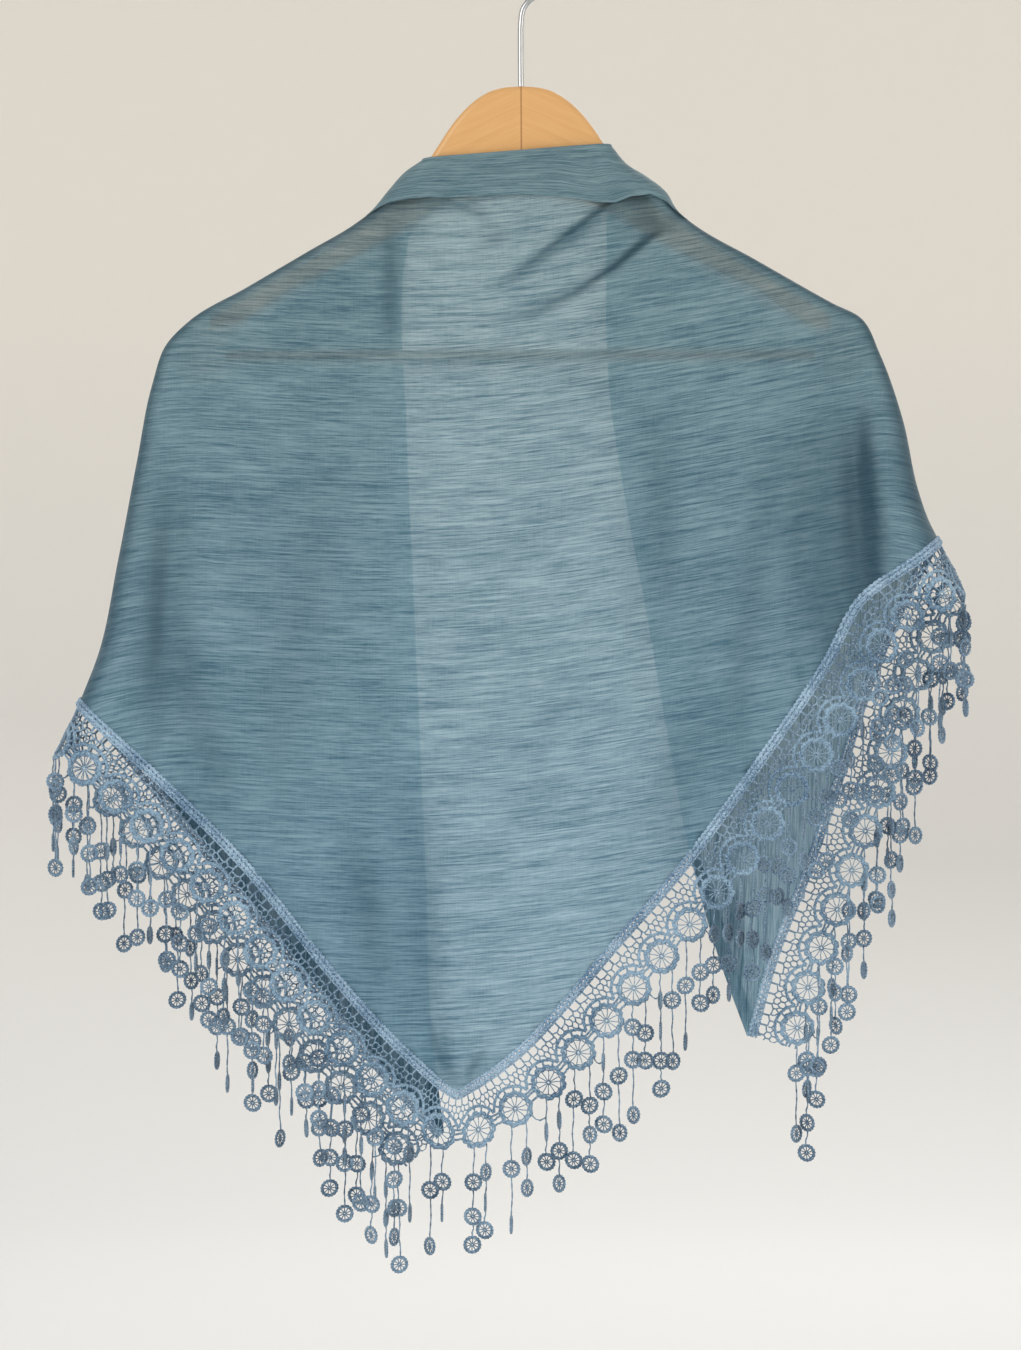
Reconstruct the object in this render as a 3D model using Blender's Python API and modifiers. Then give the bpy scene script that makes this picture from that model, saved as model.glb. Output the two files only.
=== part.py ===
"""A sheer triangle scarf with a lace edge, hung over a wooden clothes hanger.

Metres, +Z up. The origin is the inner top of the hanger's hook, where a rail carries it.
The camera side is -Y: the scarf's large middle panel and its point hang there. Its two
ends pass over the hanger's arms and hang on the +Y side. The cloth is one triangle, and
each stretch that shows is a solid of its own: middle panel, turned-down collar, left end
and right end. A lace band follows the two short sides, and strings of small discs hang
from the lace.
"""
import math

import bmesh
import bpy
import numpy as np
from mathutils import Matrix, Vector

MM = 0.001

# Cloth
WALL = 1.2 * MM
SEAM_GAP = 0.3 * MM
TURN_STEPS = 3
LINE_STEPS = 10
ARM_DEPTH = 9.5 * MM
MIDDLE_SWELL = 3.5 * MM
END_SWELL = 4.0 * MM
BULGE_REACH = 75 * MM
FOLD_FADE = 20 * MM
COLLAR_LEAD = 30 * MM
HEM_LEAD = 40 * MM

# Lace, measured out from the hem
LACE_START = 0.6 * MM
NET_EDGE = 14.0 * MM
WHEEL_CENTRE = 28.0 * MM
WHEEL_RADIUS = 10.0 * MM
LACE_PITCH = 26.0 * MM
THREAD_HALF = 0.8 * MM
BAR_ANGLE = math.radians(58)
LINK_ANGLE = math.radians(98)
NET_BAR_REACH = 10.5 * MM
FAN_REACH = 24.0 * MM

# Hanging strings of discs
STRIP_TOP = 38.8 * MM
STRIP_BOTTOM = 40.2 * MM
STRING_PLACES = (0.25, 0.75)
STRING_HALF = 0.75 * MM
DISC_HALF_WIDTH = 5.6 * MM
DISC_HALF_THICKNESS = 0.7 * MM
DISC_PITCH = 17.0 * MM
DISC_CLEAR = 0.8 * MM

# Hanger
HANGER_TILT = math.radians(-0.35)
WOOD_THICKNESS = 13.0 * MM
WOOD_ROUNDING = 3.0 * MM
BAR_RADIUS = 4.5 * MM
BAR_Z = -262.6 * MM
BAR_HALF_LENGTH = 183.7 * MM
WIRE_RADIUS = 1.8 * MM
HOOK_INNER_RADIUS = 21.0 * MM
STEM_IN_WOOD = 18.0 * MM
WOOD_TOP_Z = -97.2 * MM

# The line where the cloth turns over, from the collar along the hanger's arm, then down
# to the hem. Columns: x, z, half depth of the turn, its width from the front (mm).
LEFT_TURN = (
    (-60.0, -142.5, 9.5, 8.0),
    (-70.7, -149.8, 9.5, 8.5),
    (-80.5, -160.8, 9.5, 9.0),
    (-91.3, -173.6, 9.5, 9.0),
    (-101.0, -181.0, 9.5, 9.0),
    (-130.0, -198.1, 9.5, 9.0),
    (-168.0, -220.4, 9.5, 9.0),
    (-204.2, -241.7, 9.5, 9.0),
    (-217.7, -255.8, 9.8, 9.5),
    (-226.3, -280.4, 11.5, 11.0),
    (-235.5, -326.6, 14.5, 13.0),
    (-247.2, -388.1, 18.5, 15.0),
    (-259.5, -446.5, 21.5, 16.5),
    (-270.0, -473.6, 22.0, 17.0),
)
RIGHT_TURN = (
    (56.0, -133.5, 9.5, 8.0),
    (65.2, -144.5, 9.5, 8.5),
    (77.0, -151.9, 9.5, 9.0),
    (89.8, -162.1, 9.5, 9.0),
    (96.5, -173.2, 9.5, 9.0),
    (106.0, -180.9, 9.5, 9.0),
    (145.0, -203.4, 9.5, 9.0),
    (192.0, -230.0, 9.5, 9.0),
    (210.3, -239.8, 9.8, 9.5),
    (221.4, -261.5, 12.0, 11.5),
    (235.5, -302.0, 19.0, 16.0),
    (244.8, -345.0, 27.0, 20.0),
    (250.9, -363.0, 31.0, 21.5),
    (256.5, -374.5, 33.0, 22.0),
)
HANGER_END_ROW = 8

# Hem of the middle panel between its two turns, left to right. Columns: x, z (mm).
MIDDLE_HEM = (
    (-214.0, -525.8),
    (-166.7, -573.8),
    (-110.7, -643.3),
    (-75.0, -682.5),
    (-55.0, -705.5),
    (-38.7, -713.5),
    (-20.0, -704.0),
    (-3.7, -689.4),
    (27.1, -657.3),
    (57.2, -621.8),
    (87.9, -587.2),
    (141.5, -515.3),
    (185.0, -451.0),
    (207.0, -411.0),
)

# Free inner edge of each end, from the collar to its tip, and its hem from the turn to
# the tip. Columns: x, z (mm).
LEFT_INNER_EDGE = ((-73.0, -215.0), (-71.0, -300.0), (-66.0, -420.0), (-59.0, -580.0), (-55.0, -680.0))
LEFT_TIP = (-47.5, -742.0)
LEFT_END_HEM = ((-230.6, -520.3), (-192.5, -566.4), (-138.4, -635.0), (-90.0, -695.0))
RIGHT_INNER_EDGE = (
    (54.1, -188.0),
    (56.6, -290.0),
    (66.0, -352.0),
    (77.5, -412.7),
    (91.0, -490.2),
    (107.6, -576.9),
    (123.0, -632.0),
)
RIGHT_TIP = (141.0, -682.0)
RIGHT_END_HEM = ((236.8, -412.7), (215.3, -461.9), (195.5, -522.0), (176.0, -578.0), (155.0, -632.0))

# Soft folds of the middle panel: a row is a crest, or a trough where its height is
# negative. Columns: x and z of each end, half width, height toward the viewer (mm).
MIDDLE_FOLDS = (
    (101.0, -181.0, 24.6, -245.0, 9.0, 3.5),
    (24.6, -245.0, -32.0, -246.0, 10.0, 1.5),
    (96.0, -215.0, 0.0, -300.0, 16.0, 3.0),
    (-82.0, -186.0, -12.3, -240.0, 10.0, 2.0),
    (209.0, -290.0, 209.0, -418.0, 13.0, -11.0),
    (-217.0, -330.0, -214.0, -500.0, 14.0, -6.5),
    (-190.0, -330.0, -160.0, -560.0, 26.0, 4.0),
    (150.0, -300.0, 120.0, -520.0, 34.0, 4.0),
    (-30.0, -330.0, -50.0, -600.0, 40.0, 4.5),
    (-62.0, -600.0, -52.0, -690.0, 12.0, -3.0),
)
LEFT_END_FOLDS = (
    (-100.0, -300.0, -78.0, -700.0, 14.0, 6.0),
    (-160.0, -320.0, -150.0, -600.0, 22.0, -3.5),
    (-205.0, -330.0, -215.0, -500.0, 14.0, 5.0),
)
RIGHT_END_FOLDS = (
    (84.0, -300.0, 118.0, -600.0, 12.0, 7.0),
    (128.0, -320.0, 140.0, -560.0, 16.0, -4.0),
    (185.0, -300.0, 180.0, -500.0, 16.0, 6.0),
)

# Lower edge of the turned-down collar. Columns: share of the way across, depth (mm).
COLLAR_DEPTH = (
    (0.0, 22.0),
    (0.25, 24.0),
    (0.5, 33.0),
    (0.72, 48.0),
    (0.88, 44.0),
    (1.0, 34.0),
)

# Top and bottom edge of one arm of the hanger. Columns: distance from the middle, z (mm).
WOOD_TOP_EDGE = (
    (0.0, -97.2),
    (10.0, -97.8),
    (18.0, -99.8),
    (27.0, -104.8),
    (35.0, -111.8),
    (43.0, -121.3),
    (51.0, -133.3),
    (60.0, -146.5),
    (70.0, -157.8),
    (80.0, -168.0),
    (92.0, -178.0),
    (188.0, -235.0),
    (200.5, -242.3),
    (206.5, -250.5),
    (210.5, -260.0),
    (210.0, -270.0),
    (205.0, -277.0),
    (194.0, -279.0),
    (186.5, -276.0),
    (184.0, -270.0),
)
WOOD_BOTTOM_EDGE = (
    (184.0, -254.0),
    (178.0, -247.5),
    (72.0, -186.4),
    (48.0, -171.6),
    (30.0, -162.5),
    (0.0, -161.8),
)

# Discs on each string, and the length of its top thread (mm), repeated along the edge.
STRING_PATTERN = (
    (3, 30.0),
    (2, 42.0),
    (3, 26.0),
    (2, 38.0),
    (3, 33.0),
    (2, 46.0),
)

COLOURS = {
    "cloth_sheer": ((0.165, 0.300, 0.355, 1.0), 0.55, 0.0),
    "lace_thread": ((0.150, 0.270, 0.350, 1.0), 0.75, 0.0),
    "hanger_wood": ((0.735, 0.420, 0.170, 1.0), 0.45, 0.0),
    "hook_chrome": ((0.720, 0.730, 0.740, 1.0), 0.18, 1.0),
}


def clear_scene():
    for item in list(bpy.data.objects):
        bpy.data.objects.remove(item, do_unlink=True)


def new_collection(name):
    collection = bpy.data.collections.new(name)
    bpy.context.scene.collection.children.link(collection)
    return collection


def make_material(name):
    colour, roughness, metallic = COLOURS[name]
    material = bpy.data.materials.new(name)
    material.use_nodes = True
    shader = material.node_tree.nodes["Principled BSDF"]
    shader.inputs["Base Color"].default_value = colour
    shader.inputs["Roughness"].default_value = roughness
    shader.inputs["Metallic"].default_value = metallic
    return material


def add_object(name, mesh, material, collection):
    item = bpy.data.objects.new(name, mesh)
    mesh.materials.append(material)
    collection.objects.link(item)
    return item


def shade_round(mesh, angle):
    mesh.shade_smooth()
    mesh.set_sharp_from_angle(angle=math.radians(angle))


def add_wall(item, thickness, offset):
    wall = item.modifiers.new("wall", "SOLIDIFY")
    wall.thickness = thickness
    wall.offset = offset
    wall.use_even_offset = True


def smooth_line(rows, steps=LINE_STEPS):
    """Give the points of a smooth line through the rows of a table in millimetres."""
    rows = np.array(rows, dtype=float) * MM
    chord = np.linalg.norm(np.diff(rows[:, :2], axis=0), axis=1)
    knots = np.concatenate(([0.0], np.cumsum(chord)))
    slopes = np.gradient(rows, knots, axis=0)
    points = []
    for index in range(len(rows) - 1):
        span = knots[index + 1] - knots[index]
        last = index == len(rows) - 2
        for step in range(steps + last):
            t = step / steps
            points.append(
                (2 * t**3 - 3 * t**2 + 1) * rows[index]
                + (t**3 - 2 * t**2 + t) * span * slopes[index]
                + (3 * t**2 - 2 * t**3) * rows[index + 1]
                + (t**3 - t**2) * span * slopes[index + 1]
            )
    return np.array(points)


def lengths_along(points):
    steps = np.linalg.norm(np.diff(points, axis=0), axis=1)
    return np.concatenate(([0.0], np.cumsum(steps)))


def read_line(points, places, along=None):
    """Read a line at shares of its length, with all of its columns."""
    if along is None:
        along = lengths_along(points[:, :2])
    wanted = np.asarray(places) * along[-1]
    return np.column_stack([np.interp(wanted, along, points[:, k]) for k in range(points.shape[1])])


def ease(share):
    share = np.clip(share, 0.0, 1.0)
    return share * share * (3 - 2 * share)


def unit_rows(vectors):
    return vectors / np.linalg.norm(vectors, axis=-1, keepdims=True)


def fold_relief(x, z, folds):
    """Height toward the outside that the rows of a fold table give at a point."""
    height = np.zeros_like(x)
    for x0, z0, x1, z1, half_width, crest in np.array(folds) * MM:
        run = np.array((x1 - x0, z1 - z0))
        length = np.linalg.norm(run)
        along = ((x - x0) * run[0] + (z - z0) * run[1]) / length**2
        near = np.clip(along, 0.0, 1.0)
        away = np.hypot(x - (x0 + near * run[0]), z - (z0 + near * run[1]))
        fade = np.sin(np.pi * np.clip(near * 0.9 + 0.05, 0.0, 1.0)) ** 0.6
        height += crest * fade * np.exp(-((away / half_width) ** 2))
    return height


class Turn:
    """The line where the cloth turns over, on one side, read in even steps."""

    def __init__(self, table, side, arm_steps, side_steps):
        line = smooth_line(table)
        corner = HANGER_END_ROW * LINE_STEPS
        bends_at_both_ends = 0.5 - 0.5 * np.cos(np.pi * np.arange(arm_steps + 1) / arm_steps)
        bends_at_top = (np.arange(side_steps + 1) / side_steps) ** 1.5
        arm = read_line(line[: corner + 1], bends_at_both_ends)
        drop = read_line(line[corner:], bends_at_top)
        rows = np.vstack((arm, drop[1:]))
        self.side = side
        self.arm_steps = arm_steps
        self.line = rows[:, :2]
        self.depth = rows[:, 2]
        self.width = rows[:, 3]
        self.heading = unit_rows(np.gradient(self.line, axis=0))
        self.along = lengths_along(self.line)

    def inward(self, at_collar, at_hem):
        """Direction from the turn into a panel, led by the panel's own edges at its ends."""
        square = np.column_stack((-self.heading[:, 1], self.heading[:, 0])) * -self.side
        collar_share = (1 - ease(self.along / COLLAR_LEAD))[:, None]
        hem_share = (1 - ease((self.along[-1] - self.along) / HEM_LEAD))[:, None]
        collar_way = unit_rows(np.array(at_collar))
        hem_way = unit_rows(np.array(at_hem))
        led = square * (1 - collar_share) * (1 - hem_share)
        return unit_rows(led + collar_way * collar_share + hem_way * hem_share)

    def strip(self, inward, face):
        """Rings of points round the turn, from its edge line into the panel."""
        rings = []
        slant = WALL * math.sin(math.radians(90) / TURN_STEPS / 2)
        for step in range(TURN_STEPS + 1):
            angle = math.radians(90) * step / TURN_STEPS
            place = self.line + inward * (self.width * (1 - math.cos(angle)))[:, None]
            depth = face * np.maximum(self.depth * math.sin(angle), SEAM_GAP / 2 + slant * 1.1)
            rings.append(np.column_stack((place[:, 0], depth, place[:, 1])))
        return rings


def fill_edges(top, bottom, left, right, across, down):
    """Fill four edge lines with a grid of points (a Coons patch)."""
    u = across[None, :, None]
    v = down[:, None, None]
    ruled = (1 - v) * top[None] + v * bottom[None] + (1 - u) * left[:, None] + u * right[:, None]
    corners = (1 - u) * (1 - v) * top[0] + u * (1 - v) * top[-1] + (1 - u) * v * bottom[0]
    return ruled - corners - u * v * bottom[-1]


def panel_mesh(name, grid, strips, outward):
    """Join a grid of points and the strips round its turns into one open surface.

    Each strip comes with a function that names the grid point under each of its steps.
    """
    mesh = bpy.data.meshes.new(name)
    shape = bmesh.new()
    rows, columns = grid.shape[:2]
    points = [[shape.verts.new(place) for place in row] for row in grid]
    for row in range(rows - 1):
        for column in range(columns - 1):
            shape.faces.new(
                (
                    points[row][column],
                    points[row + 1][column],
                    points[row + 1][column + 1],
                    points[row][column + 1],
                )
            )
    for rings, grid_place in strips:
        steps = len(rings[0])
        lines = [[shape.verts.new(place) for place in ring] for ring in rings[:-1]]
        places = [grid_place(step) for step in range(steps)]
        lines.append([points[row][column] for row, column in places])
        for outer, inner in zip(lines, lines[1:]):
            for step in range(steps - 1):
                shape.faces.new((outer[step], outer[step + 1], inner[step + 1], inner[step]))
    bmesh.ops.recalc_face_normals(shape, faces=shape.faces)
    facing = sum(face.normal.y * face.calc_area() for face in shape.faces)
    if facing * outward < 0:
        bmesh.ops.reverse_faces(shape, faces=shape.faces)
    shape.to_mesh(mesh)
    shape.free()
    shade_round(mesh, 50)
    return mesh


def middle_columns(hem, left_steps=10, right_steps=13):
    """Shares of the hem's length at the panel's columns, closer together at its point."""
    along = lengths_along(hem)
    tip = along[np.argmin(hem[:, 1])] / along[-1]
    left = tip * (1 - (1 - np.arange(left_steps) / left_steps) ** 1.4)
    right = tip + (1 - tip) * (np.arange(right_steps + 1) / right_steps) ** 1.4
    return np.concatenate((left, right))


def middle_panel(left, right):
    """Points of the middle panel: its grid, and the strips round its two turns."""
    collar_way = (right.line[0] - left.line[0], left.line[0] - right.line[0])
    hem_table = np.array(MIDDLE_HEM) * MM
    left_in = left.inward(collar_way[0], hem_table[0] - left.line[-1])
    right_in = right.inward(collar_way[1], hem_table[-1] - right.line[-1])
    left_strip = left.strip(left_in, -1)
    right_strip = right.strip(right_in, -1)
    left_edge = left_strip[-1][:, (0, 2)]
    right_edge = right_strip[-1][:, (0, 2)]
    hem = smooth_line(np.vstack((left_edge[-1:], hem_table, right_edge[-1:])) / MM)
    across = middle_columns(hem)
    bottom = read_line(hem, across)
    top = left_edge[0] + across[:, None] * (right_edge[0] - left_edge[0])
    down = np.linspace(0, 1, len(left_edge))
    flat = fill_edges(top, bottom, left_edge, right_edge, across, down)
    x, z = flat[..., 0], flat[..., 1]
    near_left = 1 - ease((x - left_edge[:, 0][:, None]) / BULGE_REACH)
    near_right = 1 - ease((right_edge[:, 0][:, None] - x) / BULGE_REACH)
    shared = np.maximum(near_left + near_right, 1.0)
    hang = ARM_DEPTH + MIDDLE_SWELL * ease(down * 1.6)[:, None] + 0 * x
    depth = hang + near_left / shared * (left.depth[:, None] - hang)
    depth = depth + near_right / shared * (right.depth[:, None] - hang)
    from_left = ease((x - left_edge[:, 0][:, None]) / FOLD_FADE)
    from_right = ease((right_edge[:, 0][:, None] - x) / FOLD_FADE)
    depth = depth + fold_relief(x, z, MIDDLE_FOLDS) * from_left * from_right
    return np.stack((x, -depth, z), axis=-1), left_strip, right_strip


def end_panel(turn, inner_edge, tip, hem_rows, folds, rows=8):
    """Points of one end of the scarf behind the hanger, and the strip round its turn."""
    hem_table = np.array(hem_rows) * MM
    inner_table = np.array(inner_edge) * MM
    inward = turn.inward(inner_table[0] - turn.line[0], hem_table[0] - turn.line[-1])
    strip = turn.strip(inward, 1)
    edge = strip[-1][:, (0, 2)]
    arm, drop = edge[: turn.arm_steps + 1], edge[turn.arm_steps :]
    tip_point = np.array((tip,)) * MM
    inner_line = smooth_line(np.vstack((edge[:1], inner_table, tip_point)) / MM)
    hem_line = smooth_line(np.vstack((tip_point, hem_table[::-1], edge[-1:])) / MM)
    across = np.linspace(0, 1, len(arm))
    down = np.linspace(0, 1, len(drop))
    flat = fill_edges(arm, read_line(hem_line, across), read_line(inner_line, down), drop, across, down)
    x, z = flat[..., 0], flat[..., 1]
    near_turn = ease(1 - np.abs(drop[:, 0][:, None] - x) / BULGE_REACH)
    hang = ARM_DEPTH + END_SWELL * ease(down * 1.3)[:, None] + 0 * x
    depth = hang + near_turn * (turn.depth[turn.arm_steps :][:, None] - hang)
    below_arm = ease((down[:, None] + 0 * x) * 2.2)
    from_turn = ease(np.abs(drop[:, 0][:, None] - x) / FOLD_FADE)
    depth = depth + fold_relief(x, z, folds) * below_arm * from_turn
    return np.stack((x, depth, z), axis=-1), strip


def moved_out(grid, distance, outward):
    """Move a grid of points along the surface's normals."""
    across = np.gradient(grid, axis=1)
    down = np.gradient(grid, axis=0)
    normal = unit_rows(np.cross(down, across))
    facing = np.sign(normal[..., 1:2] * outward)
    return grid + normal * facing * distance


def collar_points(grid):
    """The turned-down collar lies on the top rows of the middle panel, just outside it."""
    outside = moved_out(grid, SEAM_GAP + WALL, -1)
    table = np.array(COLLAR_DEPTH)
    share = np.linspace(0, 1, grid.shape[1])
    depth = np.interp(share, table[:, 0], table[:, 1]) * MM
    rows = []
    for step in np.linspace(0, 1, 5):
        row = []
        for column in range(grid.shape[1]):
            line = outside[:, column]
            along = lengths_along(line)
            place = step * depth[column]
            row.append([np.interp(place, along, line[:, axis]) for axis in range(3)])
        rows.append(row)
    return np.array(rows)


class Edge:
    """The hem that a lace band follows: its points, the way down and the way out."""

    def __init__(self, points, first_way, last_way, outward):
        dense = np.linspace(0, 1, 1200)
        along = lengths_along(points)
        self.points = read_line(points, dense, along)
        heading = np.gradient(self.points, axis=0)
        square = np.column_stack((heading[:, 2], 0 * heading[:, 0], -heading[:, 0]))
        flat = np.linalg.norm(square, axis=1) / np.linalg.norm(heading, axis=1)
        down = unit_rows(square + 1e-12)
        down *= -np.sign(np.mean(down[:, 2]))
        if first_way is not None:
            down[: self.turn_count(flat, 1)] = first_way
        if last_way is not None:
            down[-self.turn_count(flat, -1) :] = last_way
        spacing = along[-1] / (len(dense) - 1)
        self.down = self.evened(down, int(FAN_REACH / spacing))
        self.out = unit_rows(np.cross(heading, self.down))
        self.out *= np.sign(np.mean(self.out[:, 1]) * outward)
        self.wheels = self.points + self.down * WHEEL_CENTRE
        self.along_wheels = lengths_along(self.wheels)
        self.units = round(self.along_wheels[-1] / LACE_PITCH)

    @staticmethod
    def turn_count(flat, way):
        """How many points at one end lie round the turn, where the hem runs front to back."""
        line = flat[::way]
        return max(2, int(np.argmax(line > 0.8)))

    @staticmethod
    def evened(ways, reach):
        padded = np.vstack((np.repeat(ways[:1], reach, 0), ways, np.repeat(ways[-1:], reach, 0)))
        sums = np.cumsum(np.vstack((np.zeros((1, 3)), padded)), axis=0)
        window = 2 * reach + 1
        return unit_rows(sums[window:] - sums[:-window])

    def place(self, unit, across, out):
        """Point of the lace: unit number, distance across it and distance from the hem."""
        step = (unit + across / LACE_PITCH) / self.units
        return self.at(step, out)

    def at(self, step, out, inside=0.0):
        index = np.interp(step * self.along_wheels[-1], self.along_wheels, np.arange(len(self.points)))
        low = min(int(index), len(self.points) - 2)
        share = index - low
        point = self.points[low] * (1 - share) + self.points[low + 1] * share
        down = self.down[low] * (1 - share) + self.down[low + 1] * share
        outside = self.out[low] * (1 - share) + self.out[low + 1] * share
        return Vector(point + down * out - outside * inside)


def wheel_corner(angle):
    """Point of a wheel's rim, with the angle measured from the side nearest the hem."""
    middle = LACE_PITCH / 2
    across = middle + WHEEL_RADIUS * math.sin(angle)
    return across, WHEEL_CENTRE - WHEEL_RADIUS * math.cos(angle)


def lace_mesh(name, edge, first, last):
    """Lace band for a run of units: a net, three bars to each wheel, and links between wheels."""
    shape = bmesh.new()
    spread = THREAD_HALF / WHEEL_RADIUS
    middle = LACE_PITCH / 2
    net_feet = (middle - NET_BAR_REACH, middle, middle + NET_BAR_REACH)
    bar_angles = (-BAR_ANGLE, 0.0, BAR_ANGLE)
    base_angles = (-math.radians(140), math.radians(180), math.radians(140))
    previous = None
    for unit in range(first, last):

        def corner(across, out):
            return shape.verts.new(edge.place(unit, across, out))

        start_trim = SEAM_GAP / 2 if unit == first else 0.0
        end_trim = SEAM_GAP / 2 if unit == last - 1 else 0.0
        if previous is None:
            top_left = corner(start_trim, LACE_START)
            net_left = corner(start_trim, NET_EDGE)
        else:
            top_left = previous["top_right"]
            net_left = None
        top_middle = corner(middle, LACE_START)
        top_right = corner(LACE_PITCH - end_trim, LACE_START)
        feet = []
        for foot in net_feet:
            feet.append((corner(foot - THREAD_HALF, NET_EDGE), corner(foot + THREAD_HALF, NET_EDGE)))
        rims = []
        for angle in bar_angles:
            rims.append((corner(*wheel_corner(angle - spread)), corner(*wheel_corner(angle + spread))))
        link_left = []
        link_right = []
        for half in (spread, -spread):
            link_left.append(corner(*wheel_corner(-LINK_ANGLE + half)))
            link_right.append(corner(*wheel_corner(LINK_ANGLE - half)))
        base = [corner(*wheel_corner(angle)) for angle in base_angles]
        shape.faces.new((top_left, feet[0][0], feet[0][1], feet[1][0], top_middle))
        shape.faces.new((top_middle, feet[1][0], feet[1][1]))
        shape.faces.new((top_middle, feet[1][1], feet[2][0], feet[2][1], top_right))
        for foot, rim in zip(feet, rims):
            shape.faces.new((foot[0], rim[0], rim[1], foot[1]))
        wheel = [link_left[1], link_left[0], *rims[0], *rims[1], *rims[2], *link_right]
        shape.faces.new(wheel + [base[2], base[1], base[0]])
        if previous is None:
            shape.faces.new((top_left, net_left, feet[0][0]))
        else:
            shape.faces.new((top_left, previous["foot"], feet[0][0]))
            shape.faces.new((previous["link"][0], previous["link"][1], link_left[1], link_left[0]))
        if unit == last - 1:
            net_right = corner(LACE_PITCH - end_trim, NET_EDGE)
            shape.faces.new((top_right, feet[2][1], net_right))
        previous = {"top_right": top_right, "foot": feet[2][1], "link": link_right}
    bmesh.ops.recalc_face_normals(shape, faces=shape.faces)
    sample = max(shape.faces, key=lambda face: face.calc_area())
    if sample.normal.dot(Vector(edge.out[len(edge.out) // 2])) < 0:
        bmesh.ops.reverse_faces(shape, faces=shape.faces)
    mesh = bpy.data.meshes.new(name)
    shape.to_mesh(mesh)
    shape.free()
    return mesh


def string_rings(root, across, reach, discs, thread):
    """Rings of a hanging string below its root: a thread, then discs close under each other.

    The discs are turned about the string until they fit the room beside them.
    """
    turn = math.acos(min(1.0, reach / DISC_HALF_WIDTH))
    across = Vector((across.x, across.y, 0.0)).normalized()
    square = Vector((-across.y, across.x, 0.0))
    wide = across * math.cos(turn) + square * math.sin(turn)
    thin = Vector((-wide.y, wide.x, 0.0))
    rings = [(thread - DISC_PITCH / 2, STRING_HALF, STRING_HALF)]
    for disc in range(discs):
        middle = thread + disc * DISC_PITCH
        rings.append((middle, DISC_HALF_WIDTH, DISC_HALF_THICKNESS))
        rings.append((middle + DISC_PITCH / 2, STRING_HALF, STRING_HALF))
    corners = ((-1, -1), (1, -1), (0, 1))
    places = []
    for drop, half_width, half_thickness in rings:
        centre = root - Vector((0.0, 0.0, drop))
        places.append([centre + wide * half_width * a + thin * half_thickness * b for a, b in corners])
    return places


def string_reach(gap, fall):
    """Half width that discs may take across, when strings hang a gap apart and one starts lower."""
    offset = fall % DISC_PITCH
    nearest = min(offset, DISC_PITCH - offset)
    beside = max(0.0, 1 - nearest / (DISC_PITCH / 2))
    return min(DISC_HALF_WIDTH, max(1.0 * MM, (gap - DISC_CLEAR) / (1 + beside)))


def fringe_mesh(name, edge, first, last):
    """A narrow strip below the lace with the strings of discs that hang from it."""
    half_step = STRING_HALF / LACE_PITCH
    steps = [first + SEAM_GAP / 2 / LACE_PITCH]
    middles = []
    for unit in range(first, last):
        for place in STRING_PLACES:
            middles.append(unit + place)
            steps.append(unit + place - half_step)
            steps.append(unit + place + half_step)
    steps.append(last - SEAM_GAP / 2 / LACE_PITCH)
    shape = bmesh.new()
    rings = []
    for step in steps:
        share = step / edge.units
        sides = ((STRIP_TOP, 0.0), (STRIP_BOTTOM, 0.0), (STRIP_BOTTOM, WALL), (STRIP_TOP, WALL))
        rings.append([shape.verts.new(edge.at(share, out, inside)) for out, inside in sides])
    shape.faces.new(rings[0])
    shape.faces.new(rings[-1][::-1])
    roots = [edge.at(middle / edge.units, STRIP_BOTTOM, WALL / 2) for middle in middles]
    for index, (here, there) in enumerate(zip(rings, rings[1:])):
        hangs = index % 2 == 1
        for side in range(4):
            after = (side + 1) % 4
            if hangs and side == 1:
                continue
            shape.faces.new((here[side], there[side], there[after], here[after]))
        if hangs:
            number = index // 2
            add_string(shape, here, there, roots, number)
    bmesh.ops.recalc_face_normals(shape, faces=shape.faces)
    mesh = bpy.data.meshes.new(name)
    shape.to_mesh(mesh)
    shape.free()
    return mesh


def add_string(shape, here, there, roots, number):
    """Hang one string from the open bottom of the strip between two of its rings."""
    root = roots[number]
    reach = DISC_HALF_WIDTH
    for other in (number - 1, number + 1):
        if 0 <= other < len(roots):
            away = roots[other] - root
            own_drop = STRING_PATTERN[number % len(STRING_PATTERN)][1] * MM
            other_drop = STRING_PATTERN[other % len(STRING_PATTERN)][1] * MM
            fall = abs(away.z - other_drop + own_drop)
            reach = min(reach, string_reach(math.hypot(away.x, away.y), fall))
    discs, thread = STRING_PATTERN[number % len(STRING_PATTERN)]
    across = there[1].co - here[1].co
    places = string_rings(root, across, reach, discs, thread * MM)
    upper = [shape.verts.new(place) for place in places[0]]
    upper = nearest_order([here[1], there[1], there[2]], upper)
    shape.faces.new((here[1], there[1], upper[1], upper[0]))
    shape.faces.new((there[1], there[2], upper[2], upper[1]))
    shape.faces.new((there[2], here[2], upper[2]))
    shape.faces.new((here[2], here[1], upper[0], upper[2]))
    for ring in places[1:]:
        lower = nearest_order(upper, [shape.verts.new(place) for place in ring])
        for side in range(3):
            after = (side + 1) % 3
            shape.faces.new((upper[side], upper[after], lower[after], lower[side]))
        upper = lower
    shape.faces.new(upper)


def nearest_order(upper, lower):
    """Start the lower ring at the corner that twists the string least."""
    best = None
    for ring in (lower, lower[::-1]):
        for start in range(len(ring)):
            turned = ring[start:] + ring[:start]
            total = sum((a.co - b.co).length for a, b in zip(upper, turned))
            if best is None or total < best[0] - 1e-9:
                best = (total, turned)
    return best[1]


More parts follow.
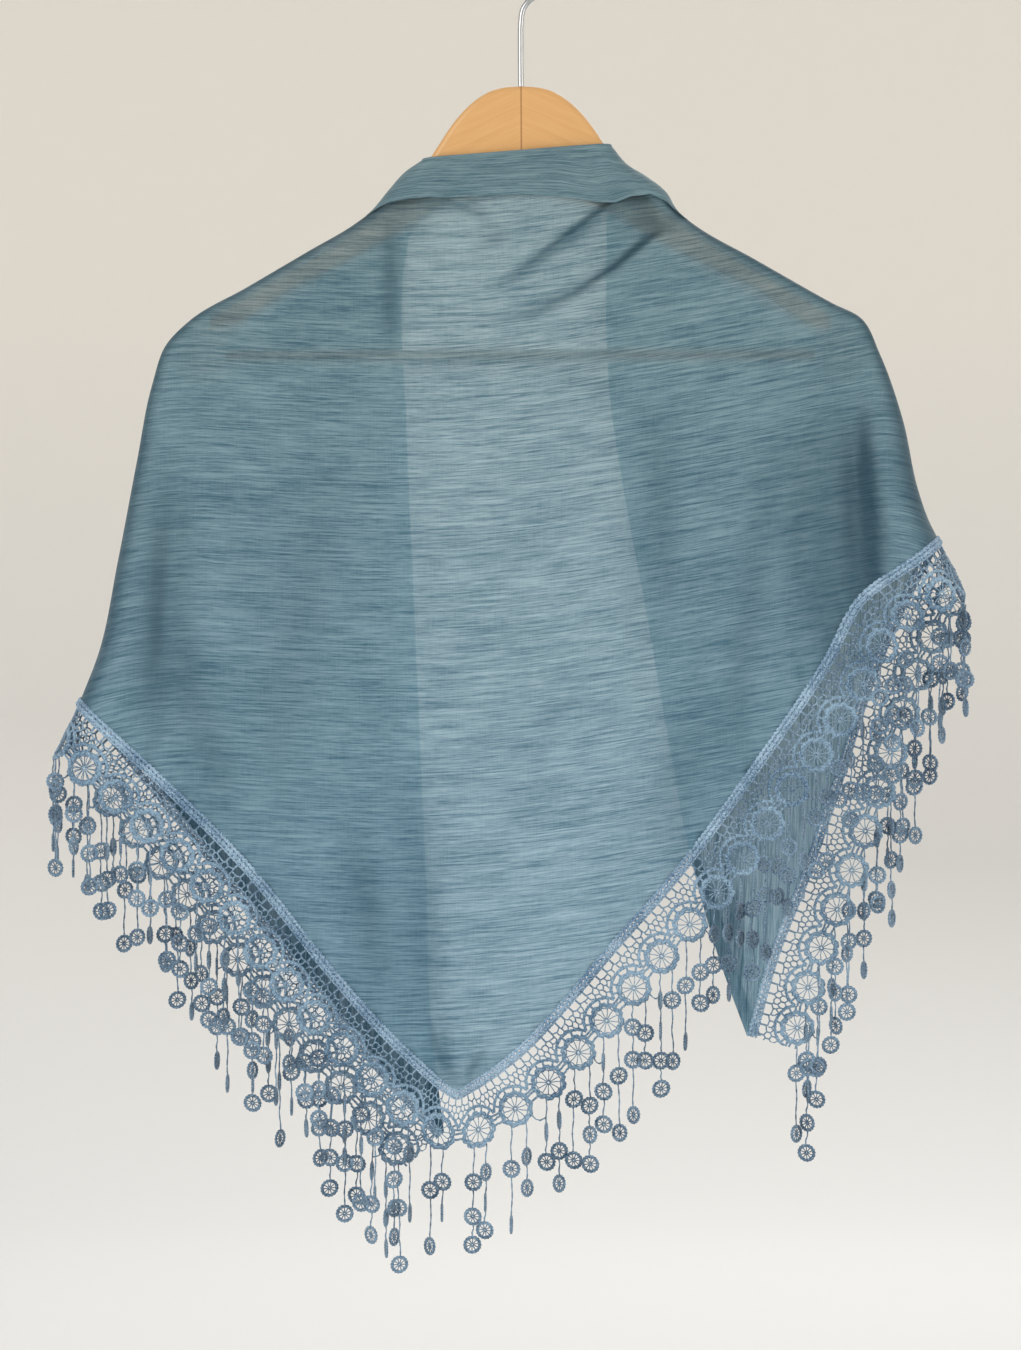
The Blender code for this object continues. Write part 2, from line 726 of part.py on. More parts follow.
def mesh_from_curve(name, curve, matrix, material, collection):
    """Turn a curve into a welded mesh object at the same place."""
    holder = bpy.data.objects.new(name + "_curve", curve)
    collection.objects.link(holder)
    bpy.context.view_layer.update()
    evaluated = holder.evaluated_get(bpy.context.evaluated_depsgraph_get())
    mesh = bpy.data.meshes.new_from_object(evaluated)
    mesh.name = name
    shape = bmesh.new()
    shape.from_mesh(mesh)
    bmesh.ops.remove_doubles(shape, verts=shape.verts, dist=1e-6)
    shape.to_mesh(mesh)
    shape.free()
    mesh.materials.clear()
    bpy.data.objects.remove(holder, do_unlink=True)
    item = add_object(name, mesh, material, collection)
    item.matrix_world = matrix
    return item


def wood_outline():
    """Closed outline of the hanger's wood, half from the tables and half mirrored."""
    half = [(x * MM, z * MM) for x, z in WOOD_TOP_EDGE + WOOD_BOTTOM_EDGE]
    mirrored = [(-x, z) for x, z in reversed(half) if x > 0]
    return half + mirrored


def build_wood(material, collection, cutters, hanger):
    curve = bpy.data.curves.new("hanger_wood", "CURVE")
    curve.dimensions = "2D"
    curve.fill_mode = "BOTH"
    curve.extrude = WOOD_THICKNESS / 2
    outline = wood_outline()
    spline = curve.splines.new("POLY")
    spline.points.add(len(outline) - 1)
    for point, (x, z) in zip(spline.points, outline):
        point.co = (x, z, 0.0, 1.0)
    spline.use_cyclic_u = True
    upright = Matrix.Rotation(math.radians(90), 4, "X")
    wood = mesh_from_curve("hanger_wood", curve, upright, material, collection)
    edges = wood.modifiers.new("round_edges", "BEVEL")
    edges.width = WOOD_ROUNDING
    edges.segments = 2
    edges.use_clamp_overlap = False
    edges.limit_method = "ANGLE"
    edges.angle_limit = math.radians(60)
    bore_radius = WIRE_RADIUS + SEAM_GAP
    bore_depth = STEM_IN_WOOD + SEAM_GAP
    bpy.ops.mesh.primitive_cylinder_add(vertices=16, radius=bore_radius, depth=2 * bore_depth)
    bore = bpy.context.active_object
    bore.name = "stem_bore"
    bore.location = (0.0, 0.0, WOOD_TOP_Z)
    bore.hide_render = True
    bore.display_type = "WIRE"
    for holder in list(bore.users_collection):
        holder.objects.unlink(bore)
    cutters.objects.link(bore)
    cut = wood.modifiers.new("stem_bore", "BOOLEAN")
    cut.operation = "DIFFERENCE"
    cut.solver = "EXACT"
    cut.object = bore
    for item in (wood, bore):
        item.parent = hanger
    shade_round(wood.data, 35)
    return wood


def build_bar(material, collection, hanger):
    bpy.ops.mesh.primitive_cylinder_add(vertices=20, radius=BAR_RADIUS, depth=2 * BAR_HALF_LENGTH)
    bar = bpy.context.active_object
    bar.name = "hanger_bar"
    bar.data.name = "hanger_bar"
    bar.rotation_euler = (0.0, math.radians(90), 0.0)
    bar.location = (0.0, 0.0, BAR_Z)
    bar.data.materials.append(material)
    for holder in list(bar.users_collection):
        holder.objects.unlink(bar)
    collection.objects.link(bar)
    bar.parent = hanger
    shade_round(bar.data, 40)


def hook_route():
    """Middle of the hook's wire: the stem, a lean to the right, then most of a circle."""
    turn_radius = HOOK_INNER_RADIUS + WIRE_RADIUS
    turn_middle = -HOOK_INNER_RADIUS
    stem_foot = WOOD_TOP_Z - STEM_IN_WOOD
    route = [(0.0, stem_foot), (0.0, WOOD_TOP_Z), (0.0, -70.0 * MM), (0.3 * MM, -57.0 * MM)]
    route += [(1.6 * MM, -49.5 * MM), (5.2 * MM, -44.2 * MM)]
    for degrees in range(-52, 206, 16):
        angle = math.radians(degrees)
        route.append((turn_radius * math.cos(angle), turn_middle + turn_radius * math.sin(angle)))
    return route


def build_hook(material, collection, hanger):
    curve = bpy.data.curves.new("hanger_hook", "CURVE")
    curve.dimensions = "3D"
    curve.bevel_depth = WIRE_RADIUS
    curve.bevel_resolution = 2
    curve.use_fill_caps = True
    route = hook_route()
    spline = curve.splines.new("POLY")
    spline.points.add(len(route) - 1)
    for point, (x, z) in zip(spline.points, route):
        point.co = (x, 0.0, z, 1.0)
    hook = mesh_from_curve("hanger_hook", curve, Matrix.Identity(4), material, collection)
    hook.parent = hanger
    shade_round(hook.data, 50)


def build_hanger(materials, collection, cutters):
    """The hanger leans a little, so its pieces hang from one empty at the hook."""
    hanger = bpy.data.objects.new("hanger", None)
    collection.objects.link(hanger)
    hanger.rotation_euler = (0.0, HANGER_TILT, 0.0)
    build_wood(materials["hanger_wood"], collection, cutters, hanger)
    build_bar(materials["hanger_wood"], collection, hanger)
    build_hook(materials["hook_chrome"], collection, hanger)


def add_cloth(name, grid, strips, outward, material, collection):
    mesh = panel_mesh(name, grid, strips, outward)
    item = add_object(name, mesh, material, collection)
    add_wall(item, WALL, -1.0)


def add_trim(suffix, edge, first, last, material, collection):
    flat_lace = lace_mesh("lace_" + suffix, edge, first, last)
    lace = add_object("lace_" + suffix, flat_lace, material, collection)
    add_wall(lace, WALL, -1.0)
    strings = fringe_mesh("fringe_" + suffix, edge, first, last)
    add_object("fringe_" + suffix, strings, material, collection)


def fold_way(turn):
    """The way the turn runs where it reaches the hem."""
    x, z = unit_rows(turn.line[-1] - turn.line[-2])
    return np.array((x, 0.0, z))


def build_scarf(materials, collection):
    cloth = materials["cloth_sheer"]
    thread = materials["lace_thread"]
    left = Turn(LEFT_TURN, -1, 9, 7)
    right = Turn(RIGHT_TURN, 1, 9, 7)
    grid, left_strip, right_strip = middle_panel(left, right)
    last_column = grid.shape[1] - 1
    strips = (
        (left_strip, lambda step: (step, 0)),
        (right_strip, lambda step: (step, last_column)),
    )
    add_cloth("scarf_middle_panel", grid, strips, -1, cloth, collection)
    add_cloth("scarf_collar", collar_points(grid), (), -1, cloth, collection)
    left_round = [ring[-1] for ring in left_strip[:-1]]
    right_round = [ring[-1] for ring in right_strip[:-1]]
    hem = np.vstack((left_round, grid[-1], right_round[::-1]))
    middle_edge = Edge(hem, fold_way(left), fold_way(right), -1)
    lowest = np.argmin(middle_edge.wheels[:, 2])
    share = middle_edge.along_wheels[lowest] / middle_edge.along_wheels[-1]
    point_unit = round(share * middle_edge.units)
    add_trim("middle_left", middle_edge, 0, point_unit, thread, collection)
    add_trim("middle_right", middle_edge, point_unit, middle_edge.units, thread, collection)
    ends = (
        ("left_end", left, LEFT_INNER_EDGE, LEFT_TIP, LEFT_END_HEM, LEFT_END_FOLDS),
        ("right_end", right, RIGHT_INNER_EDGE, RIGHT_TIP, RIGHT_END_HEM, RIGHT_END_FOLDS),
    )
    for suffix, turn, inner_edge, tip, hem_rows, folds in ends:
        grid, strip = end_panel(turn, inner_edge, tip, hem_rows, folds)
        arm_steps = turn.arm_steps

        def under(step):
            return (0, step) if step <= arm_steps else (step - arm_steps, arm_steps)

        add_cloth("scarf_" + suffix, grid, ((strip, under),), 1, cloth, collection)
        round_turn = [ring[-1] for ring in strip[:-1]]
        hem = np.vstack((round_turn, grid[-1, ::-1]))
        edge = Edge(hem, fold_way(turn), None, 1)
        add_trim(suffix, edge, 0, edge.units, thread, collection)


def main():
    clear_scene()
    collection = new_collection("triangle_scarf_on_hanger")
    cutters = new_collection("cutters")
    materials = {name: make_material(name) for name in COLOURS}
    build_hanger(materials, collection, cutters)
    build_scarf(materials, collection)


main()
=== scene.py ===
# %% [markdown]
# A silk triangle scarf on its hanger. The real one is a single triangle of sheer silk voile with a
# lace edge, hung over a wooden hanger and seen from the side where its point hangs. The packed
# model gives every piece its place and size, so this lesson begins by loading it and then dresses
# it: cloth, lace, strings of discs, and the hanger that carries them all.

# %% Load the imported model
import math
import random

import bmesh
import bpy
import numpy as np
from mathutils import Matrix, Vector


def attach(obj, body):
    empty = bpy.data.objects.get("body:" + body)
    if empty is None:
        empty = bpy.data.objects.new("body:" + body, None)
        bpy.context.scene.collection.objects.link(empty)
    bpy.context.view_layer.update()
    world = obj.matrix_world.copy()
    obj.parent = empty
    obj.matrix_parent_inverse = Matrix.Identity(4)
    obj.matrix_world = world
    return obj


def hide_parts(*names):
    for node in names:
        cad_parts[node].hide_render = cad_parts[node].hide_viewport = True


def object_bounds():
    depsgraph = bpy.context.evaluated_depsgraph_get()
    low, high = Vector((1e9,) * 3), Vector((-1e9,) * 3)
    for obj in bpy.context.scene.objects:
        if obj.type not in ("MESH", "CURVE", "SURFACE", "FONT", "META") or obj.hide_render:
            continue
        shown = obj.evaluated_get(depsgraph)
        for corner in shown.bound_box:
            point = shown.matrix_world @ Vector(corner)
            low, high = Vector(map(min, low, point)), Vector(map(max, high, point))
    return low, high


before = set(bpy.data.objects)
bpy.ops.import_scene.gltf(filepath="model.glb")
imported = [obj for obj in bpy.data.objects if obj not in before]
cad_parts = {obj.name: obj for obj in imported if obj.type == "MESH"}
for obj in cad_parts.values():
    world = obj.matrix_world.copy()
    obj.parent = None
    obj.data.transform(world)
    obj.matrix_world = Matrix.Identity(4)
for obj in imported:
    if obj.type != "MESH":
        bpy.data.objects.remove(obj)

MM = 0.001
BODY = "root"
cad_low, cad_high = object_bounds()
print("frame:", len(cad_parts), "nodes,", [round(x, 3) for x in cad_high - cad_low], "m")

# %% [markdown]
# The photograph looks straight at the scarf. The origin is the inner top of the hook, which lies
# above the picture's edge, so the camera is placed from how far the picture's middle is from that
# point, at the real size that one picture element covers. The lens then follows from the height
# of the picture and from the distance, with no trial and error.

# %% Camera at the photograph's place
PICTURE_WIDTH = 1021
PICTURE_HEIGHT = 1350
PICTURE_STEP = 0.615 * MM
ORIGIN_IN_PICTURE = (520.0, -71.0)
CAMERA_DISTANCE = 2.6
SENSOR = 36.0

middle_x = (PICTURE_WIDTH / 2 - ORIGIN_IN_PICTURE[0]) * PICTURE_STEP
middle_z = (ORIGIN_IN_PICTURE[1] - PICTURE_HEIGHT / 2) * PICTURE_STEP
camera_data = bpy.data.cameras.new("photo_camera")
camera_data.sensor_width = SENSOR
camera_data.lens = SENSOR * CAMERA_DISTANCE / (PICTURE_HEIGHT * PICTURE_STEP)
camera = bpy.data.objects.new("photo_camera", camera_data)
camera.location = (middle_x, -CAMERA_DISTANCE, middle_z)
camera.rotation_euler = (math.radians(90), 0.0, 0.0)
bpy.context.scene.collection.objects.link(camera)
bpy.context.scene.camera = camera
bpy.context.scene.view_settings.view_transform = "Standard"
print("camera: lens", round(camera_data.lens, 1), "mm, aimed at", round(middle_x, 4), round(middle_z, 4))

# %% [markdown]
# Every finish starts as the colour someone would pick from a chart, an sRGB hex value, and shaders
# count in linear light. One function turns the first into the second. A second small function
# adds a node with its settings and its links, so that each material reads as a list of steps. Two
# finishes change with height, so how far up a place lies is worked out in one function too.

# %% Colours and nodes


def linear(hex_colour):
    parts = [int(hex_colour[i : i + 2], 16) / 255 for i in (1, 3, 5)]
    return [p / 12.92 if p <= 0.04045 else ((p + 0.055) / 1.055) ** 2.4 for p in parts] + [1.0]


def add_node(tree, kind, settings, links=None):
    """Add a node. Settings name its sockets or its own values, and links name where sockets read."""
    node = tree.nodes.new(kind)
    for name, value in settings.items():
        if isinstance(name, int) or name in node.inputs:
            node.inputs[name].default_value = value
        else:
            setattr(node, name, value)
    for name, source in (links or {}).items():
        tree.links.new(source, node.inputs[name])
    return node


def new_material(name):
    material = bpy.data.materials.new(name)
    material.use_nodes = True
    material.node_tree.nodes.clear()
    return material, material.node_tree


def height_share(tree, low, high):
    """How far up a place lies between two heights, from 0 to 1."""
    place = add_node(tree, "ShaderNodeNewGeometry", {})
    split = add_node(tree, "ShaderNodeSeparateXYZ", {}, {0: place.outputs["Position"]})
    span = {"From Min": low, "From Max": high}
    return add_node(tree, "ShaderNodeMapRange", span, {"Value": split.outputs[2]}).outputs[0]


print("a mid grey is", round(linear("#808080")[0], 3), "in linear light")

# %% [markdown]
# The photograph has a pale painted wall and soft daylight. A wall close behind would hide the
# scarf from behind, so the stage is a wide bowl: a floor that curves up into a wall all round,
# which has no edge to see from any side and sends light back through the sheer cloth.

# %% Stage: a pale bowl
FLOOR_DROP = 0.35
BOWL_RADIUS = 4.6
BOWL_CURVE = 1.6
BOWL_TOP = 3.2
BOWL_SIDES = 96
CURVE_STEPS = 12
SHADE_GRADIENT_TOP = 0.2

floor_z = cad_low.z - FLOOR_DROP
profile = [(0.01, floor_z), (BOWL_RADIUS - BOWL_CURVE, floor_z)]
for step in range(1, CURVE_STEPS + 1):
    angle = math.radians(90) * step / CURVE_STEPS
    reach = BOWL_RADIUS - BOWL_CURVE + BOWL_CURVE * math.sin(angle)
    profile.append((reach, floor_z + BOWL_CURVE * (1 - math.cos(angle))))
profile.append((BOWL_RADIUS, floor_z + BOWL_TOP))


def grid_faces(rows, columns, closed=False):
    """Corner numbers of the faces of a grid whose points are numbered row by row."""
    across = columns if closed else columns - 1
    row, column = np.meshgrid(np.arange(rows - 1), np.arange(across), indexing="ij")
    after = (column + 1) % columns
    corners = (row * columns + column, (row + 1) * columns + column)
    corners += ((row + 1) * columns + after, row * columns + after)
    return np.stack(corners, axis=-1).reshape(-1, 4)


def mesh_object(name, points, faces, material, smooth=True):
    mesh = bpy.data.meshes.new(name)
    mesh.from_pydata(np.asarray(points).reshape(-1, 3).tolist(), [], [list(face) for face in faces])
    mesh.materials.append(material)
    if smooth:
        mesh.shade_smooth()
    item = bpy.data.objects.new(name, mesh)
    bpy.context.scene.collection.objects.link(item)
    return item


plaster, tree = new_material("painted_plaster")
# painted shade and painted light: the plaster turns darker and cooler toward the floor, as painted shade
# against the light the bowl's floor catches, and warmer toward the top, as painted warm light from above
painted_shade_paints = {"data_type": "RGBA", 6: linear("#e4e5e6"), 7: linear("#f2eee7")}
painted_shade_gradient = add_node(tree, "ShaderNodeMix", painted_shade_paints, {0: height_share(tree, floor_z, SHADE_GRADIENT_TOP)})
skin = add_node(tree, "ShaderNodeBsdfPrincipled", {"Roughness": 0.9}, {"Base Color": painted_shade_gradient.outputs[2]})
add_node(tree, "ShaderNodeOutputMaterial", {}, {"Surface": skin.outputs[0]})
turns = np.arange(BOWL_SIDES) * math.tau / BOWL_SIDES
bowl_points = [[(r * math.cos(t), r * math.sin(t), z) for t in turns] for r, z in profile]
bowl = mesh_object("stage_bowl", bowl_points, grid_faces(len(profile), BOWL_SIDES, closed=True), plaster)
print("stage: bowl", BOWL_RADIUS, "m in radius, floor at", round(floor_z, 3))

# %% [markdown]
# Soft window light comes from the front and a little from the left, so a wide area light stands
# there. A weaker one on the right keeps the folds open. A low one in front is the light that a pale
# floor sends up, and one behind and above gives the far side its share. The world adds the light
# that a white room sends from everywhere.

# %% Lights
LIGHTS = (
    # name, place, size, power
    ("window", (-2.2, -2.4, 0.9), 2.2, 55.0),
    ("room_right", (2.6, -1.8, 0.0), 2.0, 28.0),
    ("room_below", (0.4, -2.3, -1.5), 1.6, 19.0),
    ("room_behind", (0.6, 3.0, 1.2), 2.2, 42.0),
)
LIGHT_TARGET = Vector((0.0, 0.0, -0.42))
DAYLIGHT = "#fffdf9"
ROOM_WHITE = "#fbf9f6"
ROOM_STRENGTH = 0.62

for name, place, size, power in LIGHTS:
    light = bpy.data.lights.new(name, "AREA")
    light.shape = "SQUARE"
    light.size = size
    light.energy = power
    light.color = linear(DAYLIGHT)[:3]
    lamp = bpy.data.objects.new(name, light)
    lamp.location = place
    lamp.rotation_euler = (LIGHT_TARGET - Vector(place)).to_track_quat("-Z", "Y").to_euler()
    bpy.context.scene.collection.objects.link(lamp)

world = bpy.data.worlds.new("white_room")
world.use_nodes = True
sky = world.node_tree.nodes["Background"].inputs
sky["Color"].default_value = linear(ROOM_WHITE)
sky["Strength"].default_value = ROOM_STRENGTH
bpy.context.scene.world = world
print("lights:", [row[0] for row in LIGHTS])

# %% [markdown]
# Slub silk voile is a plain weave of fine, uneven threads. Where a weft thread swells, it shows as
# a paler or darker streak a few centimetres long, and between the threads the light passes. So
# the finish is made of three parts: streaks stretched along the weft, a share of the surface that
# is open, and a share that glows with the light behind it. The real threads stand about 0.2 mm
# apart, too fine to show, and the streaks are drawn 1 mm wide so that they do. Two values of the
# cloth's points steer it: the first makes it denser and paints shade into its colour in folds and on
# steep and shaded stretches, and stretch opens it where it is drawn over the wood. A warm tint is
# painted toward the neck, as painted warm light, since light near the ceiling is warmer.

# %% Material: slub silk voile
WEAVE_PATTERNS = (
    # length along the weft, width across it, octaves of detail, share in the sum
    (24.0 * MM, 0.85 * MM, 3.0, 0.44),
    (70.0 * MM, 2.2 * MM, 2.0, 0.25),
    (7.0 * MM, 0.55 * MM, 1.0, 0.14),
    (0.9 * MM, 16.0 * MM, 1.0, 0.05),
    (55.0 * MM, 30.0 * MM, 2.0, 0.12),
)
VOILE_DARK = "#446c83"
VOILE_LIGHT = "#8aadbf"
VOILE_PAINTED_SHADE = "#0f3c52"
STREAK_RANGE = (0.41, 0.59)
VOILE_COVER = (0.87, 0.95)
GATHER_COVER = 0.12
STRETCH_COVER = -0.16
GLOW_SHARE = 0.26
PAINTED_WARM_LIGHT = "#fbf2e6"
PAINTED_WARM_LIGHT_HEIGHTS = (-0.6, -0.15)


def silk_voile():
    material, tree = new_material("silk_voile")
    weave = add_node(tree, "ShaderNodeUVMap", {"uv_map": "weave"})
    patterns = []
    streaks = None
    for length, width, detail, share in WEAVE_PATTERNS:
        scale = (1 / length, 1 / width, 1.0)
        place = add_node(tree, "ShaderNodeMapping", {"Scale": scale}, {"Vector": weave.outputs[0]})
        noise = {"Scale": 1.0, "Detail": detail, "Roughness": 0.65}
        patterns.append(add_node(tree, "ShaderNodeTexNoise", noise, {"Vector": place.outputs[0]}))
        links = {0: patterns[-1].outputs[0]}
        if streaks is not None:
            links[2] = streaks.outputs[0]
        sum_so_far = {"operation": "MULTIPLY_ADD", 1: share, 2: 0.0}
        streaks = add_node(tree, "ShaderNodeMath", sum_so_far, links)
    spread = {"From Min": STREAK_RANGE[0], "From Max": STREAK_RANGE[1]}
    tone = add_node(tree, "ShaderNodeMapRange", spread, {"Value": streaks.outputs[0]})
    gather = add_node(tree, "ShaderNodeAttribute", {"attribute_name": "gather"})
    stretch = add_node(tree, "ShaderNodeAttribute", {"attribute_name": "stretch"})
    dyes = {"data_type": "RGBA", 6: linear(VOILE_DARK), 7: linear(VOILE_LIGHT)}
    light = add_node(tree, "ShaderNodeMix", dyes, {0: tone.outputs[0]})
    # painted shade: a deep blue is mixed into the colour in folds and creases, on steep stretches and on the
    # shaded ends; the same value also raises the cover where the cloth lies denser
    painted_shade_settings = {"data_type": "RGBA", 7: linear(VOILE_PAINTED_SHADE)}
    painted_shade_mix = add_node(tree, "ShaderNodeMix", painted_shade_settings, {0: gather.outputs["Fac"], 6: light.outputs[2]})
    # painted warm light: the colour is tinted warm toward the neck, since light near the ceiling is warmer
    warm_light_tint = {"data_type": "RGBA", "blend_type": "MULTIPLY", 7: linear(PAINTED_WARM_LIGHT)}
    links = {0: height_share(tree, *PAINTED_WARM_LIGHT_HEIGHTS), 6: painted_shade_mix.outputs[2]}
    colour_mix = add_node(tree, "ShaderNodeMix", warm_light_tint, links)
    relief = {"Strength": 0.35, "Distance": 0.4 * MM}
    bump = add_node(tree, "ShaderNodeBump", relief, {"Height": patterns[0].outputs[0]})
    surface = {"Roughness": 0.58, "Specular IOR Level": 0.3, "Sheen Weight": 0.15}
    surface["Sheen Roughness"] = 0.4
    links = {"Base Color": colour_mix.outputs[2], "Normal": bump.outputs[0]}
    silk = add_node(tree, "ShaderNodeBsdfPrincipled", surface, links)
    links = {"Color": colour_mix.outputs[2], "Normal": bump.outputs[0]}
    glow = add_node(tree, "ShaderNodeBsdfTranslucent", {}, links)
    shaders = {1: silk.outputs[0], 2: glow.outputs[0]}
    cloth = add_node(tree, "ShaderNodeMixShader", {0: GLOW_SHARE}, shaders)
    open_weave = add_node(tree, "ShaderNodeBsdfTransparent", {})
    thin, thick = VOILE_COVER
    covers = {"From Min": 1.0, "From Max": 0.0, "To Min": thin, "To Max": thick}
    cover = add_node(tree, "ShaderNodeMapRange", covers, {"Value": tone.outputs[0]}).outputs[0]
    for source, change in ((gather, GATHER_COVER), (stretch, STRETCH_COVER)):
        links = {0: source.outputs["Fac"], 2: cover}
        added = {"operation": "MULTIPLY_ADD", 1: change}
        cover = add_node(tree, "ShaderNodeMath", added, links).outputs[0]
    share = {0: cover, 1: open_weave.outputs[0], 2: cloth.outputs[0]}
    sheer = add_node(tree, "ShaderNodeMixShader", {}, share)
    add_node(tree, "ShaderNodeOutputMaterial", {}, {"Surface": sheer.outputs[0]})
    return material


voile = silk_voile()
print("material:", voile.name, "covers", VOILE_COVER, "of what is behind it")

# %% [markdown]
# The lace is embroidered in twisted cotton of the scarf's own blue. The thick braid is raised toward
# the light, so it takes a paler copy of the cotton, a painted highlight, and the thin strings take a
# darker copy. A thread is matt with a soft nap. Its twist shows as fine relief and speckle, drawn by a
# noise a little coarser than real, and the dye takes a little unevenly, in patches two centimetres wide.

# %% Materials: embroidery, braid and string cotton
TWIST_SPACING = 1.0 * MM
DYE_PATCH = 22.0 * MM


def thread(name, dark, light, roughness):
    material, tree = new_material(name)
    place = add_node(tree, "ShaderNodeTexCoord", {})
    ply = {"Scale": 1 / TWIST_SPACING, "Detail": 2.0, "Roughness": 0.7}
    fibre = add_node(tree, "ShaderNodeTexNoise", ply, {"Vector": place.outputs["Object"]})
    patch = {"Scale": 1 / DYE_PATCH, "Detail": 2.0}
    shade = add_node(tree, "ShaderNodeTexNoise", patch, {"Vector": place.outputs["Object"]})
    both = add_node(tree, "ShaderNodeMix", {"Factor": 0.35}, {2: fibre.outputs[0], 3: shade.outputs[0]})
    spread = {"From Min": 0.38, "From Max": 0.62}
    tone = add_node(tree, "ShaderNodeMapRange", spread, {"Value": both.outputs[0]})
    colour_mix = {"data_type": "RGBA", 6: linear(dark), 7: linear(light)}
    colour = add_node(tree, "ShaderNodeMix", colour_mix, {0: tone.outputs[0]})
    relief = {"Strength": 1.0, "Distance": 0.45 * MM}
    bump = add_node(tree, "ShaderNodeBump", relief, {"Height": fibre.outputs[0]})
    cotton = {"Roughness": roughness, "Specular IOR Level": 0.25, "Sheen Weight": 0.3}
    cotton["Sheen Roughness"] = 0.5
    links = {"Base Color": colour.outputs[2], "Normal": bump.outputs[0]}
    yarn = add_node(tree, "ShaderNodeBsdfPrincipled", cotton, links)
    add_node(tree, "ShaderNodeOutputMaterial", {}, {"Surface": yarn.outputs[0]})
    return material


embroidery = thread("embroidery_cotton", "#3d5c78", "#94b1c8", 0.72)
# painted highlight: the braid's cotton is a paler copy of the embroidery's, since the raised braid catches
# more light
braid_cotton_painted_highlight = thread("braid_cotton_painted_highlight", "#4a6c8b", "#a9c4da", 0.7)
string_cotton = thread("string_cotton", "#2b455d", "#87a4bd", 0.78)
print("materials:", embroidery.name, braid_cotton_painted_highlight.name, string_cotton.name)

# %% [markdown]
# The drape is drawn once, as lines: where the cloth turns over the hanger and down its sides, the
# hem, and the free edges of the two ends. Each is a short table in millimetres, read as a smooth
# line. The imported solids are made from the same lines, so the fine cloth lies on their form.

# %% Drape lines
# The turn, from the collar along the arm and down to the hem. Columns: x, z, half depth, width.
LEFT_TURN = (
    (-60.0, -142.5, 9.5, 8.0),
    (-70.7, -149.8, 9.5, 8.5),
    (-80.5, -160.8, 9.5, 9.0),
    (-91.3, -173.6, 9.5, 9.0),
    (-101.0, -181.0, 9.5, 9.0),
    (-130.0, -198.1, 9.5, 9.0),
    (-168.0, -220.4, 9.5, 9.0),
    (-204.2, -241.7, 9.5, 9.0),
    (-217.7, -255.8, 9.8, 9.5),
    (-226.3, -280.4, 11.5, 11.0),
    (-235.5, -326.6, 14.5, 13.0),
    (-247.2, -388.1, 18.5, 15.0),
    (-259.5, -446.5, 21.5, 16.5),
    (-270.0, -473.6, 22.0, 17.0),
)
RIGHT_TURN = (
    (56.0, -133.5, 9.5, 8.0),
    (65.2, -144.5, 9.5, 8.5),
    (77.0, -151.9, 9.5, 9.0),
    (89.8, -162.1, 9.5, 9.0),
    (96.5, -173.2, 9.5, 9.0),
    (106.0, -180.9, 9.5, 9.0),
    (145.0, -203.4, 9.5, 9.0),
    (192.0, -230.0, 9.5, 9.0),
    (210.3, -239.8, 9.8, 9.5),
    (221.4, -261.5, 12.0, 11.5),
    (235.5, -302.0, 19.0, 16.0),
    (244.8, -345.0, 27.0, 20.0),
    (250.9, -363.0, 31.0, 21.5),
    (256.5, -374.5, 33.0, 22.0),
)
HANGER_END_ROW = 8

# Hem of the middle panel between its two turns, left to right. Columns: x, z.
MIDDLE_HEM = (
    (-214.0, -525.8),
    (-166.7, -573.8),
    (-110.7, -643.3),
    (-75.0, -682.5),
    (-55.0, -701.0),
    (-44.5, -710.0),
    (-38.5, -713.5),
    (-32.0, -709.8),
    (-20.0, -702.0),
    (-3.7, -689.4),
    (27.1, -657.3),
    (57.2, -621.8),
    (87.9, -587.2),
    (141.5, -515.3),
    (185.0, -451.0),
    (207.0, -411.0),
)

# Free inner edge of each end, its tip, and its hem from the turn to the tip. Columns: x, z.
LEFT_INNER_EDGE = ((-73.0, -215.0), (-71.0, -300.0), (-66.0, -420.0), (-59.0, -580.0), (-55.0, -680.0))
LEFT_TIP = (-47.5, -742.0)
LEFT_END_HEM = ((-230.6, -520.3), (-192.5, -566.4), (-138.4, -635.0), (-90.0, -695.0))
RIGHT_INNER_EDGE = (
    (54.1, -188.0),
    (56.6, -290.0),
    (66.0, -352.0),
    (77.5, -412.7),
    (91.0, -490.2),
    (107.6, -576.9),
    (123.0, -632.0),
)
RIGHT_TIP = (141.0, -682.0)
RIGHT_END_HEM = ((236.8, -412.7), (215.3, -461.9), (195.5, -522.0), (176.0, -578.0), (155.0, -632.0))
print("drape: turns of", len(LEFT_TURN), "and", len(RIGHT_TURN), "rows")

# %% [markdown]
# A table becomes a line by passing a smooth curve through its rows, and a line is read at shares
# of its own length. These two helpers and a soft step are all that the cloth needs.

# %% Lines and soft steps
LINE_STEPS = 12


def smooth_line(rows, steps=LINE_STEPS):
    """Points of a smooth line through the rows of a table in millimetres."""
    rows = np.array(rows, dtype=float) * MM
    chord = np.linalg.norm(np.diff(rows[:, :2], axis=0), axis=1)
    knots = np.concatenate(([0.0], np.cumsum(chord)))
    slopes = np.gradient(rows, knots, axis=0)
    points = []
    for index in range(len(rows) - 1):
        span = knots[index + 1] - knots[index]
        for step in range(steps + (index == len(rows) - 2)):
            t = step / steps
            points.append(
                (2 * t**3 - 3 * t**2 + 1) * rows[index]
                + (t**3 - 2 * t**2 + t) * span * slopes[index]
                + (3 * t**2 - 2 * t**3) * rows[index + 1]
                + (t**3 - t**2) * span * slopes[index + 1]
            )
    return np.array(points)


def lengths_along(points):
    return np.concatenate(([0.0], np.cumsum(np.linalg.norm(np.diff(points, axis=0), axis=1))))


